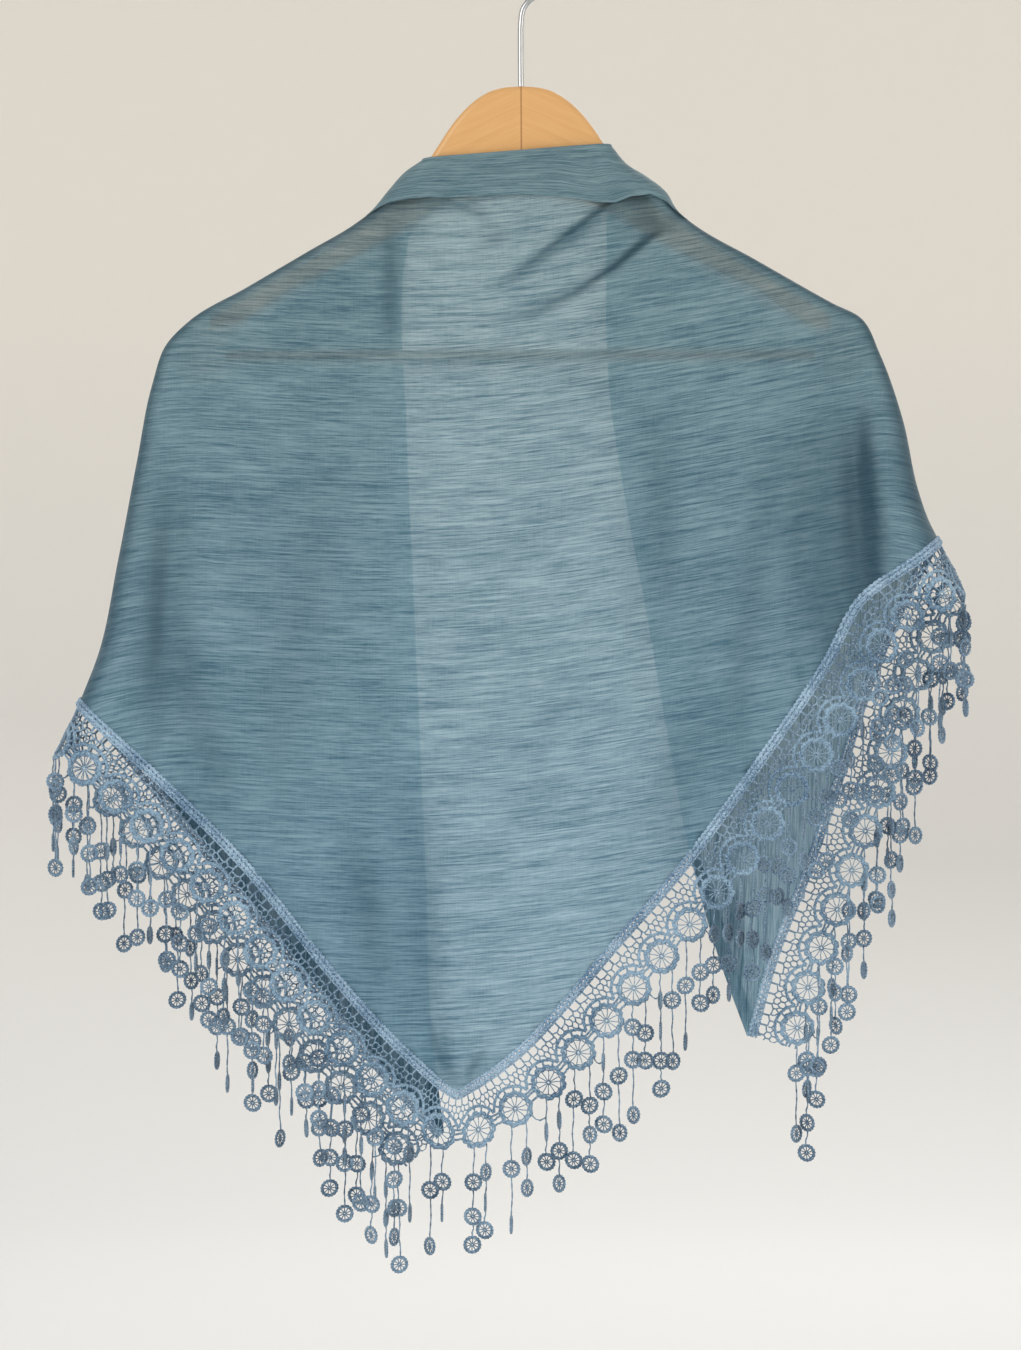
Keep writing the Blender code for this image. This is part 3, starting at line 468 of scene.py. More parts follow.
def read_line(points, shares, along=None):
    along = lengths_along(points[:, :2]) if along is None else along
    wanted = np.asarray(shares) * along[-1]
    return np.column_stack([np.interp(wanted, along, points[:, k]) for k in range(points.shape[1])])


def ease(share):
    share = np.clip(share, 0.0, 1.0)
    return share * share * (3 - 2 * share)


def unit_rows(vectors):
    return vectors / np.linalg.norm(vectors, axis=-1, keepdims=True)


def fill_edges(top, bottom, left, right, across, down):
    """Fill four edge lines with a grid of points (a Coons patch)."""
    u = across[None, :, None]
    v = down[:, None, None]
    ruled = (1 - v) * top[None] + v * bottom[None] + (1 - u) * left[:, None] + u * right[:, None]
    corners = (1 - u) * (1 - v) * top[0] + u * (1 - v) * top[-1] + (1 - u) * v * bottom[0]
    return ruled - corners - u * v * bottom[-1]


print("a soft step at a quarter is", round(float(ease(0.25)), 3))

# %% [markdown]
# Over the hanger's arms and down its sides the cloth turns back with a round edge. A quarter
# circle on each face makes that edge: it starts on the turn's line, where the two faces meet,
# and ends level with the panel. The turn grows deeper toward the hem, where the cloth hangs free.

# %% The rounded turns
ARM_STEPS = 110
SIDE_STEPS = 96
ROUND_STEPS = 7
COLLAR_LEAD = 30 * MM
HEM_LEAD = 40 * MM


class Turn:
    """The line where the cloth turns over on one side, with its depth and width."""

    def __init__(self, table, side):
        line = smooth_line(table)
        corner = HANGER_END_ROW * LINE_STEPS
        arm = read_line(line[: corner + 1], np.linspace(0, 1, ARM_STEPS + 1))
        drop = read_line(line[corner:], np.linspace(0, 1, SIDE_STEPS + 1))
        rows = np.vstack((arm, drop[1:]))
        self.side = side
        self.line, self.depth, self.width = rows[:, :2], rows[:, 2], rows[:, 3]
        self.along = lengths_along(self.line)
        self.heading = unit_rows(np.gradient(self.line, self.along, axis=0))

    def rounding(self, at_collar, at_hem, face):
        """Lines of points round the turn, from its edge line to the panel, on one face."""
        square = np.column_stack((-self.heading[:, 1], self.heading[:, 0])) * -self.side
        collar_share = (1 - ease(self.along / COLLAR_LEAD))[:, None]
        hem_share = (1 - ease((self.along[-1] - self.along) / HEM_LEAD))[:, None]
        led = square * (1 - collar_share) * (1 - hem_share)
        led = led + unit_rows(np.array(at_collar)) * collar_share + unit_rows(np.array(at_hem)) * hem_share
        inward = unit_rows(led)
        lines = []
        for step in range(ROUND_STEPS + 1):
            angle = math.radians(90) * step / ROUND_STEPS
            place = self.line + inward * (self.width * (1 - math.cos(angle)))[:, None]
            lines.append(np.column_stack((place[:, 0], face * self.depth * math.sin(angle), place[:, 1])))
        return np.array(lines)


left_turn = Turn(LEFT_TURN, -1)
right_turn = Turn(RIGHT_TURN, 1)
print("turns:", len(left_turn.line), "steps, left", round(left_turn.along[-1], 3), "m long")

# %% [markdown]
# Folds are drawn as routes across the cloth. A row of a table is a straight crest or
# trough that fades out at both ends. The deep folds that sweep from the neck bend, so they are
# routes of several points, and they lean: one flank is long and soft and the other is short and
# steep, which is what makes cloth look folded instead of wavy.

# %% Folds of the middle panel
MIDDLE_FOLDS = (
    # x, z of each end, half width, height toward the viewer
    (96.0, -215.0, 0.0, -300.0, 16.0, 3.0),
    (209.0, -290.0, 209.0, -418.0, 13.0, -11.0),
    (-217.0, -330.0, -214.0, -500.0, 14.0, -6.5),
    (-190.0, -330.0, -160.0, -560.0, 26.0, 4.0),
    (150.0, -300.0, 120.0, -520.0, 34.0, 4.0),
    (-30.0, -330.0, -50.0, -600.0, 40.0, 4.5),
    (-62.0, -600.0, -52.0, -690.0, 12.0, -2.4),
    (-52.0, -672.0, -41.0, -708.0, 4.0, -1.6),
    (-18.0, -676.0, -36.0, -705.0, 4.0, 1.4),
    (2.0, -668.0, -26.0, -698.0, 5.0, -1.2),
    (-60.0, -664.0, -50.0, -698.0, 4.0, 1.0),
    (178.0, -320.0, 172.0, -440.0, 9.0, 2.2),
    (110.0, -330.0, 96.0, -470.0, 12.0, -1.8),
    (-120.0, -300.0, -112.0, -430.0, 15.0, -1.7),
    (-150.0, -430.0, -138.0, -560.0, 11.0, -1.8),
    (-238.0, -330.0, -246.0, -440.0, 6.0, 2.4),
    (30.0, -420.0, 18.0, -600.0, 16.0, -1.6),
    (70.0, -480.0, 52.0, -590.0, 10.0, 1.7),
    (-90.0, -520.0, -80.0, -640.0, 10.0, 1.6),
    (-170.0, -242.0, -120.0, -250.0, 9.0, -1.4),
    (130.0, -226.0, 190.0, -262.0, 8.0, 1.6),
    (-100.0, -205.0, -170.0, -262.0, 10.0, 1.5),
)
NECK_FOLDS = (
    # half width, height, lean toward the route's left hand, route of x, z
    (12.0, 6.6, 0.7, ((97.2, -177.5), (90.4, -169.5), (80.0, -164.6), (67.7, -166.4), (58.4, -170.7),
                       (49.2, -177.1), (36.9, -186.3), (21.5, -197.4), (0.0, -212.8), (-24.0, -224.0))),
    (12.0, 5.2, -0.7, ((99.0, -180.5), (86.0, -184.5), (73.8, -191.3), (58.4, -204.8), (43.1, -215.9),
                        (24.6, -226.9), (0.0, -237.4), (-28.0, -244.0))),
    (10.0, 5.5, -0.7, ((-94.0, -178.0), (-80.0, -168.5), (-55.4, -166.1), (-44.9, -166.7),
                       (-33.8, -169.7), (-24.6, -174.7), (-8.0, -184.0))),
)
FOLD_POWER = 1.6
ROUTE_STEPS = 5


def beside_run(x, z, start, run):
    """The nearest share of a straight run to each place, and the gap from there in x and z."""
    across, up = x - start[0], z - start[1]
    near = np.clip((across * run[0] + up * run[1]) / (run @ run), 0.0, 1.0)
    return near, across - near * run[0], up - near * run[1]


def straight_folds(x, z, folds):
    height = np.zeros_like(x)
    for x0, z0, x1, z1, half_width, crest in np.array(folds) * MM:
        near, gap_x, gap_z = beside_run(x, z, (x0, z0), np.array((x1 - x0, z1 - z0)))
        away = np.hypot(gap_x, gap_z)
        fade = np.sin(np.pi * np.clip(near * 0.9 + 0.05, 0.0, 1.0)) ** 0.6
        height += crest * fade * np.exp(-((away / half_width) ** 2))
    return height


def beside_route(x, z, route):
    """How far each place is from a bent route, on which hand, and how far along it."""
    line = smooth_line(route, ROUTE_STEPS)
    along = lengths_along(line)
    best = np.full(x.shape, np.inf)
    side = np.zeros_like(x)
    reached = np.zeros_like(x)
    for index in range(len(line) - 1):
        run = line[index + 1] - line[index]
        near, gap_x, gap_z = beside_run(x, z, line[index], run)
        away = np.hypot(gap_x, gap_z)
        closer = away < best
        best = np.where(closer, away, best)
        side = np.where(closer, np.sign(run[0] * gap_z - run[1] * gap_x), side)
        reached = np.where(closer, (along[index] + near * np.linalg.norm(run)) / along[-1], reached)
    return best, side, reached


def route_fade(reached, power):
    """Strong from the start of a route, then fading out at its far end. A high power fades late."""
    return np.cos(np.pi / 2 * np.clip(reached, 0, 1) ** power) * ease(reached * 8 + 0.4)


def bent_fold(x, z, half_width, crest, lean, route):
    """A fold along a bent route. It fades toward the route's far end, and leans to one hand."""
    away, side, reached = beside_route(x, z, route)
    width = half_width * MM * np.where(side > 0, 1 + lean, 1 - lean)
    return crest * MM * route_fade(reached, FOLD_POWER) * np.exp(-((away / width) ** 2))


print("folds:", len(MIDDLE_FOLDS), "straight and", len(NECK_FOLDS), "bent")

# %% [markdown]
# Sheer cloth is darkest where it lies double. Along a fold the cloth overlaps itself, and a fold's
# edge is sharp on one hand and soft on the other. These two tables say where the middle panel lies
# denser than its plain hang and where shade is painted into its folds and creases: straight stretches
# first, then the bent ones of the neck. Where they add up, the sum levels off below 1, so the weave
# can still be seen in the darkest fold.

# %% Where the cloth lies dense, and where shade is painted in its folds
DENSE_AND_SHADED_STRETCHES = (
    # x, z of each end, half width, how much denser and how much painted shade
    (208.0, -300.0, 209.0, -445.0, 7.0, 0.65),
    (182.0, -300.0, 192.0, -430.0, 30.0, 0.5),
    (196.0, -390.0, 190.0, -450.0, 18.0, 0.4),
    (-79.5, -186.0, -79.0, -258.0, 6.0, 0.55),
    (62.0, -184.0, 86.0, -180.0, 8.0, 0.4),
    (-50.0, -686.0, -40.0, -708.0, 5.0, 0.5),
    (-22.0, -690.0, -34.0, -706.0, 4.0, 0.35),
    (-218.0, -340.0, -222.0, -490.0, 15.0, 0.35),
    (-208.0, -440.0, -180.0, -540.0, 14.0, 0.3),
    (-66.0, -520.0, -52.0, -700.0, 12.0, 0.35),
    (86.0, -560.0, 110.0, -480.0, 18.0, 0.3),
    (150.0, -330.0, 128.0, -520.0, 10.0, 0.25),
    (84.0, -300.0, 88.0, -420.0, 12.0, 0.3),
    (-120.0, -340.0, -150.0, -520.0, 16.0, 0.2),
    (-100.0, -560.0, -84.0, -650.0, 13.0, 0.42),
    (-25.0, -195.0, -7.0, -188.5, 4.0, 0.4),
)
DENSE_AND_SHADED_EDGES = (
    # half width on the route's right hand and on its left, how much denser and how much painted shade, route
    # of x, z
    (2.2, 4.0, 0.5, ((80.0, -164.6), (67.7, -167.5), (58.4, -171.7), (49.2, -178.1), (36.9, -187.3),
                     (21.5, -198.4), (0.0, -212.8), (-24.0, -226.0))),
    (4.5, 1.2, 0.4, ((99.0, -180.5), (86.0, -188.0), (73.8, -197.3), (61.0, -206.8), (43.1, -217.9),
                     (24.6, -227.9), (0.0, -238.4), (-28.0, -246.0))),
    (4.0, 1.6, 0.6, ((-94.0, -176.0), (-80.0, -170.5), (-55.4, -168.1), (-44.9, -168.7),
                     (-33.8, -171.7), (-24.6, -176.7), (-8.0, -186.0))),
)
DENSE_SHADE_POWER = 2.6
DENSE_SHADE_LIMIT = 0.72


def fold_density_and_painted_shade(x, z):
    """How much denser than plain the middle panel is at a place, with its painted shade, from 0 to 1."""
    amount = straight_folds(x, z, DENSE_AND_SHADED_STRETCHES) / MM
    for right_hand, left_hand, denser_and_darker, route in DENSE_AND_SHADED_EDGES:
        away, side, reached = beside_route(x, z, route)
        width = np.where(side > 0, left_hand, right_hand) * MM
        amount = amount + denser_and_darker * route_fade(reached, DENSE_SHADE_POWER) * np.exp(-((away / width) ** 2))
    return DENSE_SHADE_LIMIT * np.tanh(amount / DENSE_SHADE_LIMIT)


print("dense:", len(DENSE_AND_SHADED_STRETCHES), "stretches and", len(DENSE_AND_SHADED_EDGES), "edges")

# %% [markdown]
# The opposite happens where the cloth is drawn over the hanger's arms: its weave opens, and the
# wood's brown shows through, and a little over the round bar too. The table gives the band that
# the board takes up behind the cloth.

# %% Where the cloth is stretched over the wood
WOOD_BAND = (
    # distance from the middle, z of the wood's lower edge, z of its upper edge
    (0.0, -161.8, -97.2),
    (30.0, -162.5, -107.0),
    (48.0, -171.6, -129.0),
    (72.0, -186.4, -160.0),
    (170.0, -242.5, -225.0),
    (190.0, -248.0, -238.0),
)
WOOD_BORDER = 6 * MM
BAR_MIDDLE = -262.6 * MM
BAR_SHOWS = 3.2 * MM
BAR_REACH = 180 * MM


def over_wood(x, z):
    """How much of the wood lies behind a place, from 0 to 1, with soft borders."""
    table = np.array(WOOD_BAND) * MM
    lower = np.interp(np.abs(x), table[:, 0], table[:, 1])
    upper = np.interp(np.abs(x), table[:, 0], table[:, 2])
    inside = np.abs(x) < table[-1, 0]
    board = ease((z - lower) / WOOD_BORDER + 0.5) * ease((upper - z) / WOOD_BORDER + 0.5) * inside
    bar = np.exp(-(((z - BAR_MIDDLE) / BAR_SHOWS) ** 2)) * (np.abs(x) < BAR_REACH)
    return np.maximum(board, bar)


print("wood behind the shoulder:", float(over_wood(0.13, -0.21)))

# %% [markdown]
# The middle panel fills the frame of lines: the collar edge above, the two turns, and the hem.
# It hangs a little way in front of the hanger, swells toward the turns, and takes the folds. The
# braid of the lace draws the hem in, so short ripples run up from it and soon fade.

# %% Middle panel
ARM_DEPTH = 9.5 * MM
MIDDLE_SWELL = 3.5 * MM
END_SWELL = 4.0 * MM
BULGE_REACH = 75 * MM
FOLD_FADE = 20 * MM
MIDDLE_SWELL_RATE = 1.6
END_SWELL_RATE = 1.3
SETTLE_RATE = 2.2
MIDDLE_COLUMNS = 230
HEM_RIPPLE = 0.8 * MM
HEM_RIPPLE_REACH = 16 * MM
HEM_WAVES = (
    # hem length for each radian of the wave, share in the sum, phase
    (4.1 * MM, 1.0, 0.0),
    (2.7 * MM, 0.7, 1.3),
    (6.8 * MM, 0.5, 0.0),
)


def hem_ripples(flat, hem_along):
    """Short waves that run up from the hem, uneven in spacing and height."""
    height = np.linalg.norm(flat - flat[-1:], axis=-1)
    waves = sum(share * np.sin(hem_along / radian + phase) for radian, share, phase in HEM_WAVES)
    return HEM_RIPPLE * waves[None] * np.exp(-height / HEM_RIPPLE_REACH)


def middle_panel():
    collar_way = right_turn.line[0] - left_turn.line[0]
    hem_table = np.array(MIDDLE_HEM) * MM
    left_round = left_turn.rounding(collar_way, hem_table[0] - left_turn.line[-1], -1)
    right_round = right_turn.rounding(-collar_way, hem_table[-1] - right_turn.line[-1], -1)
    left_edge, right_edge = left_round[-1][:, (0, 2)], right_round[-1][:, (0, 2)]
    hem = smooth_line(np.vstack((left_edge[-1:], hem_table, right_edge[-1:])) / MM)
    across = np.linspace(0, 1, MIDDLE_COLUMNS)
    top = left_edge[0] + across[:, None] * (right_edge[0] - left_edge[0])
    down = np.linspace(0, 1, len(left_edge))
    bottom = read_line(hem, across)
    flat = fill_edges(top, bottom, left_edge, right_edge, across, down)
    x, z = flat[..., 0], flat[..., 1]
    from_left, from_right = x - left_edge[:, 0][:, None], right_edge[:, 0][:, None] - x
    near_left, near_right = 1 - ease(from_left / BULGE_REACH), 1 - ease(from_right / BULGE_REACH)
    shared = np.maximum(near_left + near_right, 1.0)
    hang = ARM_DEPTH + MIDDLE_SWELL * ease(down * MIDDLE_SWELL_RATE)[:, None] + 0 * x
    depth = hang + near_left / shared * (left_turn.depth[:, None] - hang)
    depth = depth + near_right / shared * (right_turn.depth[:, None] - hang)
    inside = ease(from_left / FOLD_FADE) * ease(from_right / FOLD_FADE)
    relief = straight_folds(x, z, MIDDLE_FOLDS)
    for half_width, crest, lean, route in NECK_FOLDS:
        relief = relief + bent_fold(x, z, half_width, crest, lean, route)
    left_part = left_round[:-1].transpose(1, 0, 2)
    right_part = right_round[-2::-1].transpose(1, 0, 2)

    def between_turns(depths):
        return np.concatenate((left_part, np.stack((x, -depths, z), axis=-1), right_part), axis=1)

    rippled = relief + hem_ripples(flat, lengths_along(bottom))
    smooth_hem = between_turns(depth + relief * inside)[-1]
    return between_turns(depth + rippled * inside), between_turns(depth), smooth_hem


middle_grid, plain_grid, middle_hem = middle_panel()
print("middle panel:", middle_grid.shape, "lowest point", round(middle_grid[..., 2].min(), 4))

# %% [markdown]
# Each end passes over an arm and hangs behind, as a long narrow triangle whose free edge is the
# scarf's long edge. Its lines are the arm above, the turn at its outer side, the free edge and
# the hem. The cloth there runs with the weft upright, because the end has turned as it folded.

# %% The two ends
LEFT_END_FOLDS = (
    # x, z of each end, half width, height away from the viewer
    (-100.0, -300.0, -78.0, -700.0, 14.0, 6.0),
    (-160.0, -320.0, -150.0, -600.0, 22.0, -3.5),
    (-205.0, -330.0, -215.0, -500.0, 14.0, 5.0),
    (-130.0, -280.0, -112.0, -560.0, 8.0, 2.5),
    (-182.0, -300.0, -186.0, -480.0, 8.0, 2.2),
    (-72.0, -560.0, -60.0, -720.0, 7.0, 3.0),
)
RIGHT_END_FOLDS = (
    # x, z of each end, half width, height away from the viewer
    (84.0, -300.0, 118.0, -600.0, 12.0, 7.0),
    (128.0, -320.0, 140.0, -560.0, 16.0, -4.0),
    (185.0, -300.0, 180.0, -500.0, 16.0, 6.0),
    (112.0, -280.0, 124.0, -520.0, 7.0, 2.6),
    (160.0, -290.0, 158.0, -520.0, 8.0, 2.4),
    (214.0, -290.0, 212.0, -400.0, 7.0, -2.4),
    (122.0, -570.0, 137.0, -665.0, 5.0, 4.0),
)


def end_panel(turn, inner_edge, tip, hem_rows, folds):
    hem_table = np.array(hem_rows) * MM
    inner_table = np.array(inner_edge) * MM
    rounding = turn.rounding(inner_table[0] - turn.line[0], hem_table[0] - turn.line[-1], 1)
    edge = rounding[-1][:, (0, 2)]
    arm, drop = edge[: ARM_STEPS + 1], edge[ARM_STEPS:]
    tip_point = np.array((tip,)) * MM
    inner_line = smooth_line(np.vstack((edge[:1], inner_table, tip_point)) / MM)
    hem_line = smooth_line(np.vstack((tip_point, hem_table[::-1], edge[-1:])) / MM)
    across = np.linspace(0, 1, len(arm))
    down = np.linspace(0, 1, len(drop))
    bottom = read_line(hem_line, across)
    flat = fill_edges(arm, bottom, read_line(inner_line, down), drop, across, down)
    x, z = flat[..., 0], flat[..., 1]
    from_turn = np.abs(drop[:, 0][:, None] - x)
    near_turn = ease(1 - from_turn / BULGE_REACH)
    hang = ARM_DEPTH + END_SWELL * ease(down * END_SWELL_RATE)[:, None] + 0 * x
    depth = hang + near_turn * (turn.depth[ARM_STEPS:][:, None] - hang)
    settle = ease((down[:, None] + 0 * x) * SETTLE_RATE) * ease(from_turn / FOLD_FADE)
    depth = depth + straight_folds(x, z, folds) * settle
    return np.stack((x, depth, z), axis=-1), rounding


left_end, left_rounding = end_panel(left_turn, LEFT_INNER_EDGE, LEFT_TIP, LEFT_END_HEM, LEFT_END_FOLDS)
right_end, right_rounding = end_panel(right_turn, RIGHT_INNER_EDGE, RIGHT_TIP, RIGHT_END_HEM, RIGHT_END_FOLDS)
print("ends:", left_end.shape, "and", right_end.shape)

# %% [markdown]
# The long edge of the triangle is turned down at the neck as a soft collar. It lies on the middle
# panel, close in the centre and puffed away at the two sides of the neck, where its lower edge
# throws a small shadow. It is made from the panel's own points, moved toward the viewer, past the
# folds below, and its upper edge rolls over from the panel in a half circle.

# %% Collar
COLLAR_LOWER_EDGE = (
    # x, z of the lower edge, how far it stands off the panel there
    (-93.0, -176.5, 4.5),
    (-86.0, -171.8, 4.5),
    (-80.0, -169.6, 4.5),
    (-68.0, -167.4, 4.0),
    (-55.0, -166.6, 3.4),
    (-45.0, -167.0, 2.6),
    (-30.0, -166.0, 1.2),
    (0.0, -164.5, 0.7),
    (30.0, -166.5, 0.8),
    (45.0, -169.5, 1.6),
    (58.0, -170.5, 3.2),
    (67.7, -166.4, 4.6),
    (80.0, -164.6, 5.2),
    (90.0, -169.2, 5.2),
    (95.0, -174.0, 5.0),
    (98.0, -179.0, 4.5),
)
COLLAR_ROWS = 26
COLLAR_ROLL = 0.8 * MM
COLLAR_GAP = 0.9 * MM
EDGE_GAP = 0.5 * MM
ROLL_STEPS = 5
FOLD_REACH = 6


def spread_maximum(values, reach):
    """The largest value near each place, then evened, so that a cloth laid on top stays smooth."""
    for axis in (0, 1):
        shifted = [np.roll(values, step, axis=axis) for step in range(-reach, reach + 1)]
        values = np.max(shifted, axis=0)
    for axis in (0, 1):
        shifted = [np.roll(values, step, axis=axis) for step in range(-reach, reach + 1)]
        values = np.mean(shifted, axis=0)
    return values


def collar_grid(plain, folded):
    table = np.array(COLLAR_LOWER_EDGE)
    upper = plain[: ARM_STEPS // 2]
    above = upper[..., 2] - np.interp(upper[..., 0] / MM, table[:, 0], table[:, 1]) * MM
    columns = np.arange(plain.shape[1])
    reached = np.maximum(np.argmax(above < 0, axis=0), 1)
    over, under = above[reached - 1, columns], above[reached, columns]
    reached = reached - 1 + over / (over - under)
    relief = spread_maximum((plain[..., 1] - folded[..., 1])[: ARM_STEPS // 2], FOLD_REACH)
    shares = np.linspace(0, 1, COLLAR_ROWS)
    place = shares[:, None] * reached
    low = place.astype(int)
    part = place - low
    base = plain[low, columns] * (1 - part[..., None]) + plain[low + 1, columns] * part[..., None]
    raised = relief[low, columns] * (1 - part) + relief[low + 1, columns] * part
    lift = np.interp(base[-1, :, 0] / MM, table[:, 0], table[:, 2]) * MM
    off = COLLAR_GAP + lift[None] * ease(shares * 1.1)[:, None]
    inside = np.clip(columns / ROUND_STEPS, 0, 1) * np.clip(columns[::-1] / ROUND_STEPS, 0, 1)
    body = base.copy()
    body[..., 1] -= np.maximum(off, raised + COLLAR_GAP) * ease(inside)
    body[..., 0] += EDGE_GAP * (1 - inside) * np.sign(base[..., 0])
    top, over = plain[0], body[0]
    roll = []
    for step in range(ROLL_STEPS):
        angle = math.radians(180) * step / ROLL_STEPS
        middle = (top + over) / 2
        arm = (top - over) / 2
        roll.append(middle + arm * math.cos(angle) + np.array((0, 0, COLLAR_ROLL)) * math.sin(angle))
    return np.concatenate((np.array(roll), body), axis=0)


collar = collar_grid(plain_grid, middle_grid)
print("collar:", collar.shape, "front at", round(collar[..., 1].min(), 4))

# %% [markdown]
# The free edges of the ends are finished with a narrow turned hem, wider where the cloth has
# rolled over on itself. A hem is one more strip of the same cloth: it rounds the edge and comes
# back on the hidden side, so through the sheer panel it shows as a slightly denser line.

# %% Hems of the free edges
LEFT_HEM_WIDTHS = (
    # z, width
    (-160.0, 6.0),
    (-190.0, 15.0),
    (-240.0, 16.0),
    (-275.0, 5.0),
    (-320.0, 3.0),
    (-640.0, 3.0),
    (-742.0, 7.0),
)
RIGHT_HEM_WIDTHS = (
    (-150.0, 4.0),
    (-240.0, 3.0),
    (-330.0, 4.0),
    (-372.0, 11.0),
    (-430.0, 9.0),
    (-480.0, 4.0),
    (-560.0, 4.0),
    (-600.0, 9.0),
    (-682.0, 8.0),
)
HEM_ROLL = 0.7 * MM
HEM_STEPS = 5
HEM_PUFF = 1.2 * MM
FULL_PUFF_WIDTH = 8 * MM


def turned_hem(edge, inward_sign, widths):
    """A strip that rounds a free edge and lies behind it. The edge runs from the arm to the tip."""
    table = np.array(widths)[::-1]
    width = np.interp(edge[:, 2] / MM, table[:, 0], table[:, 1]) * MM
    inward = np.array((inward_sign, 0.0, 0.0))
    lines = [edge]
    for step in range(1, HEM_STEPS):
        angle = math.radians(180) * step / HEM_STEPS
        reach = -HEM_ROLL * math.sin(angle)
        lines.append(edge + inward * reach + np.array((0, HEM_ROLL * (1 - math.cos(angle)), 0)))
    for step in range(1, HEM_STEPS + 1):
        share = step / HEM_STEPS
        puff = 2 * HEM_ROLL + HEM_PUFF * math.sin(math.pi * share) * np.clip(width / FULL_PUFF_WIDTH, 0, 1)
        back = np.column_stack((0 * width, puff, 0 * width))
        lines.append(edge + inward * (width * share)[:, None] + back)
    return np.array(lines)


left_hem = turned_hem(left_end[:, 0], -1, LEFT_HEM_WIDTHS)
right_hem = turned_hem(right_end[:, 0], 1, RIGHT_HEM_WIDTHS)
print("hems:", left_hem.shape, "and", right_hem.shape)

# %% [markdown]
# All stretches are one cloth, so they are joined into one mesh and welded where they meet. Each
# corner of a face remembers its place in the weave, in metres along and across the weft, for the
# streaks. In the middle panel the weft sags a little between the arms, and it runs upright on the
# ends. Where a fold is steep, more cloth lies behind each point, so a second value says how dense
# the cloth is there and how much shade is painted into its colour, on steep stretches, in folds and
# on the shaded ends, and a third, stretch, says where the wood below opens the weave.

# %% Join the cloth
WEFT_SLOPE = 0.065
WEFT_SAG = 0.14
SAG_MIDDLE = -28 * MM
SAG_ROUND = 90 * MM
SIDE_ARCH = (-190 * MM, 212 * MM)
ARCH_RISE = (2.6, 9.0)
WELD_DISTANCE = 0.01 * MM


def weft_across(points):
    """Place in the weave of the middle panel: along the weft, and across it."""
    x, y, z = points[..., 0], points[..., 1], points[..., 2]
    sag = WEFT_SLOPE * x + WEFT_SAG * (np.hypot(x - SAG_MIDDLE, SAG_ROUND) - SAG_ROUND)
    arch = ARCH_RISE[0] * np.minimum(x - SIDE_ARCH[0], 0.0) ** 2
    arch = arch + ARCH_RISE[1] * np.maximum(x - SIDE_ARCH[1], 0.0) ** 2
    along = x + 0.5 * np.abs(y)
    return np.stack((along, z - sag + arch), axis=-1)


def weft_along_edge(points):
    """The collar's weft follows its own edge, because the cloth is turned down there."""
    across = np.linalg.norm(np.diff(points, axis=1, prepend=points[:, :1]), axis=-1).cumsum(axis=1)
    down = np.linalg.norm(np.diff(points, axis=0, prepend=points[:1]), axis=-1).cumsum(axis=0)
    return np.stack((across + 0.5, down.mean(axis=1, keepdims=True) + 0.25 * down + 0.7), axis=-1)


def weft_upright(points):
    x, y, z = points[..., 0], points[..., 1], points[..., 2]
    return np.stack((z * 1.02 + 0.3, x + 0.4 * y - 0.04 * z), axis=-1)


END_SHADES = {
    # how much shade is painted into an end all over, and how much more near its hem, where it lies in shade
    # behind the front lace
    "left end": (0.15, 0.55),
    "right end": (0.02, 0.12),
}
HEM_SHADE_REACH = 45 * MM
STEEP_LIMIT = 0.6
DENSITY_AND_SHADE_LIMIT = 0.78


def density_and_painted_shade_of(name, points):
    """How dense the cloth is and how much shade is painted into it, from 0 to 1: steep stretches, dense and
    creased places, and the shaded ends.
    """
    across = np.gradient(points, axis=1)
    down = np.gradient(points, axis=0)
    normal = unit_rows(np.cross(down, across) + 1e-15)
    steep = np.minimum((1 - np.abs(normal[..., 1])) * 1.5, STEEP_LIMIT)
    if name == "middle":
        return np.clip(steep + fold_density_and_painted_shade(points[..., 0], points[..., 2]), 0, DENSITY_AND_SHADE_LIMIT)
    if name.endswith(("arm", "side")):
        return steep
    if name in END_SHADES:
        whole, hem = END_SHADES[name]
        above_hem = np.linalg.norm(points - points[-1:], axis=-1)
        return np.clip(steep + whole + hem * np.exp(-above_hem / HEM_SHADE_REACH), 0, 1)
    return np.zeros_like(steep)


def stretch_of(name, points):
    """How far the weave is opened by the wood below it. The collar lies double, so it stays shut."""
    if name == "collar":
        return np.zeros(points.shape[:-1])
    return over_wood(points[..., 0], points[..., 2])


def arm_strip(rounding):
    return rounding[:, : ARM_STEPS + 1]


def side_strip(rounding):
    return rounding[:, ARM_STEPS:]


patches = [
    ("middle", middle_grid, weft_across),
    ("collar", collar, weft_along_edge),
    ("left end", left_end, weft_upright),
    ("right end", right_end, weft_upright),
    ("left arm", arm_strip(left_rounding), weft_upright),
    ("left side", side_strip(left_rounding), weft_upright),
    ("right arm", arm_strip(right_rounding), weft_upright),
    ("right side", side_strip(right_rounding), weft_upright),
    ("left hem", left_hem, weft_upright),
    ("right hem", right_hem, weft_upright),
]
cloth_points, cloth_faces, cloth_weave = [], [], []
cloth_density_and_painted_shade, cloth_stretch = [], []
for name, points, weave in patches:
    first = sum(len(part) for part in cloth_points)
    faces = grid_faces(*points.shape[:2])
    cloth_points.append(points.reshape(-1, 3))
    cloth_faces.append(faces + first)
    cloth_weave.append(weave(points).reshape(-1, 2)[faces.ravel()])
    cloth_density_and_painted_shade.append(density_and_painted_shade_of(name, points).ravel())
    cloth_stretch.append(stretch_of(name, points).ravel())

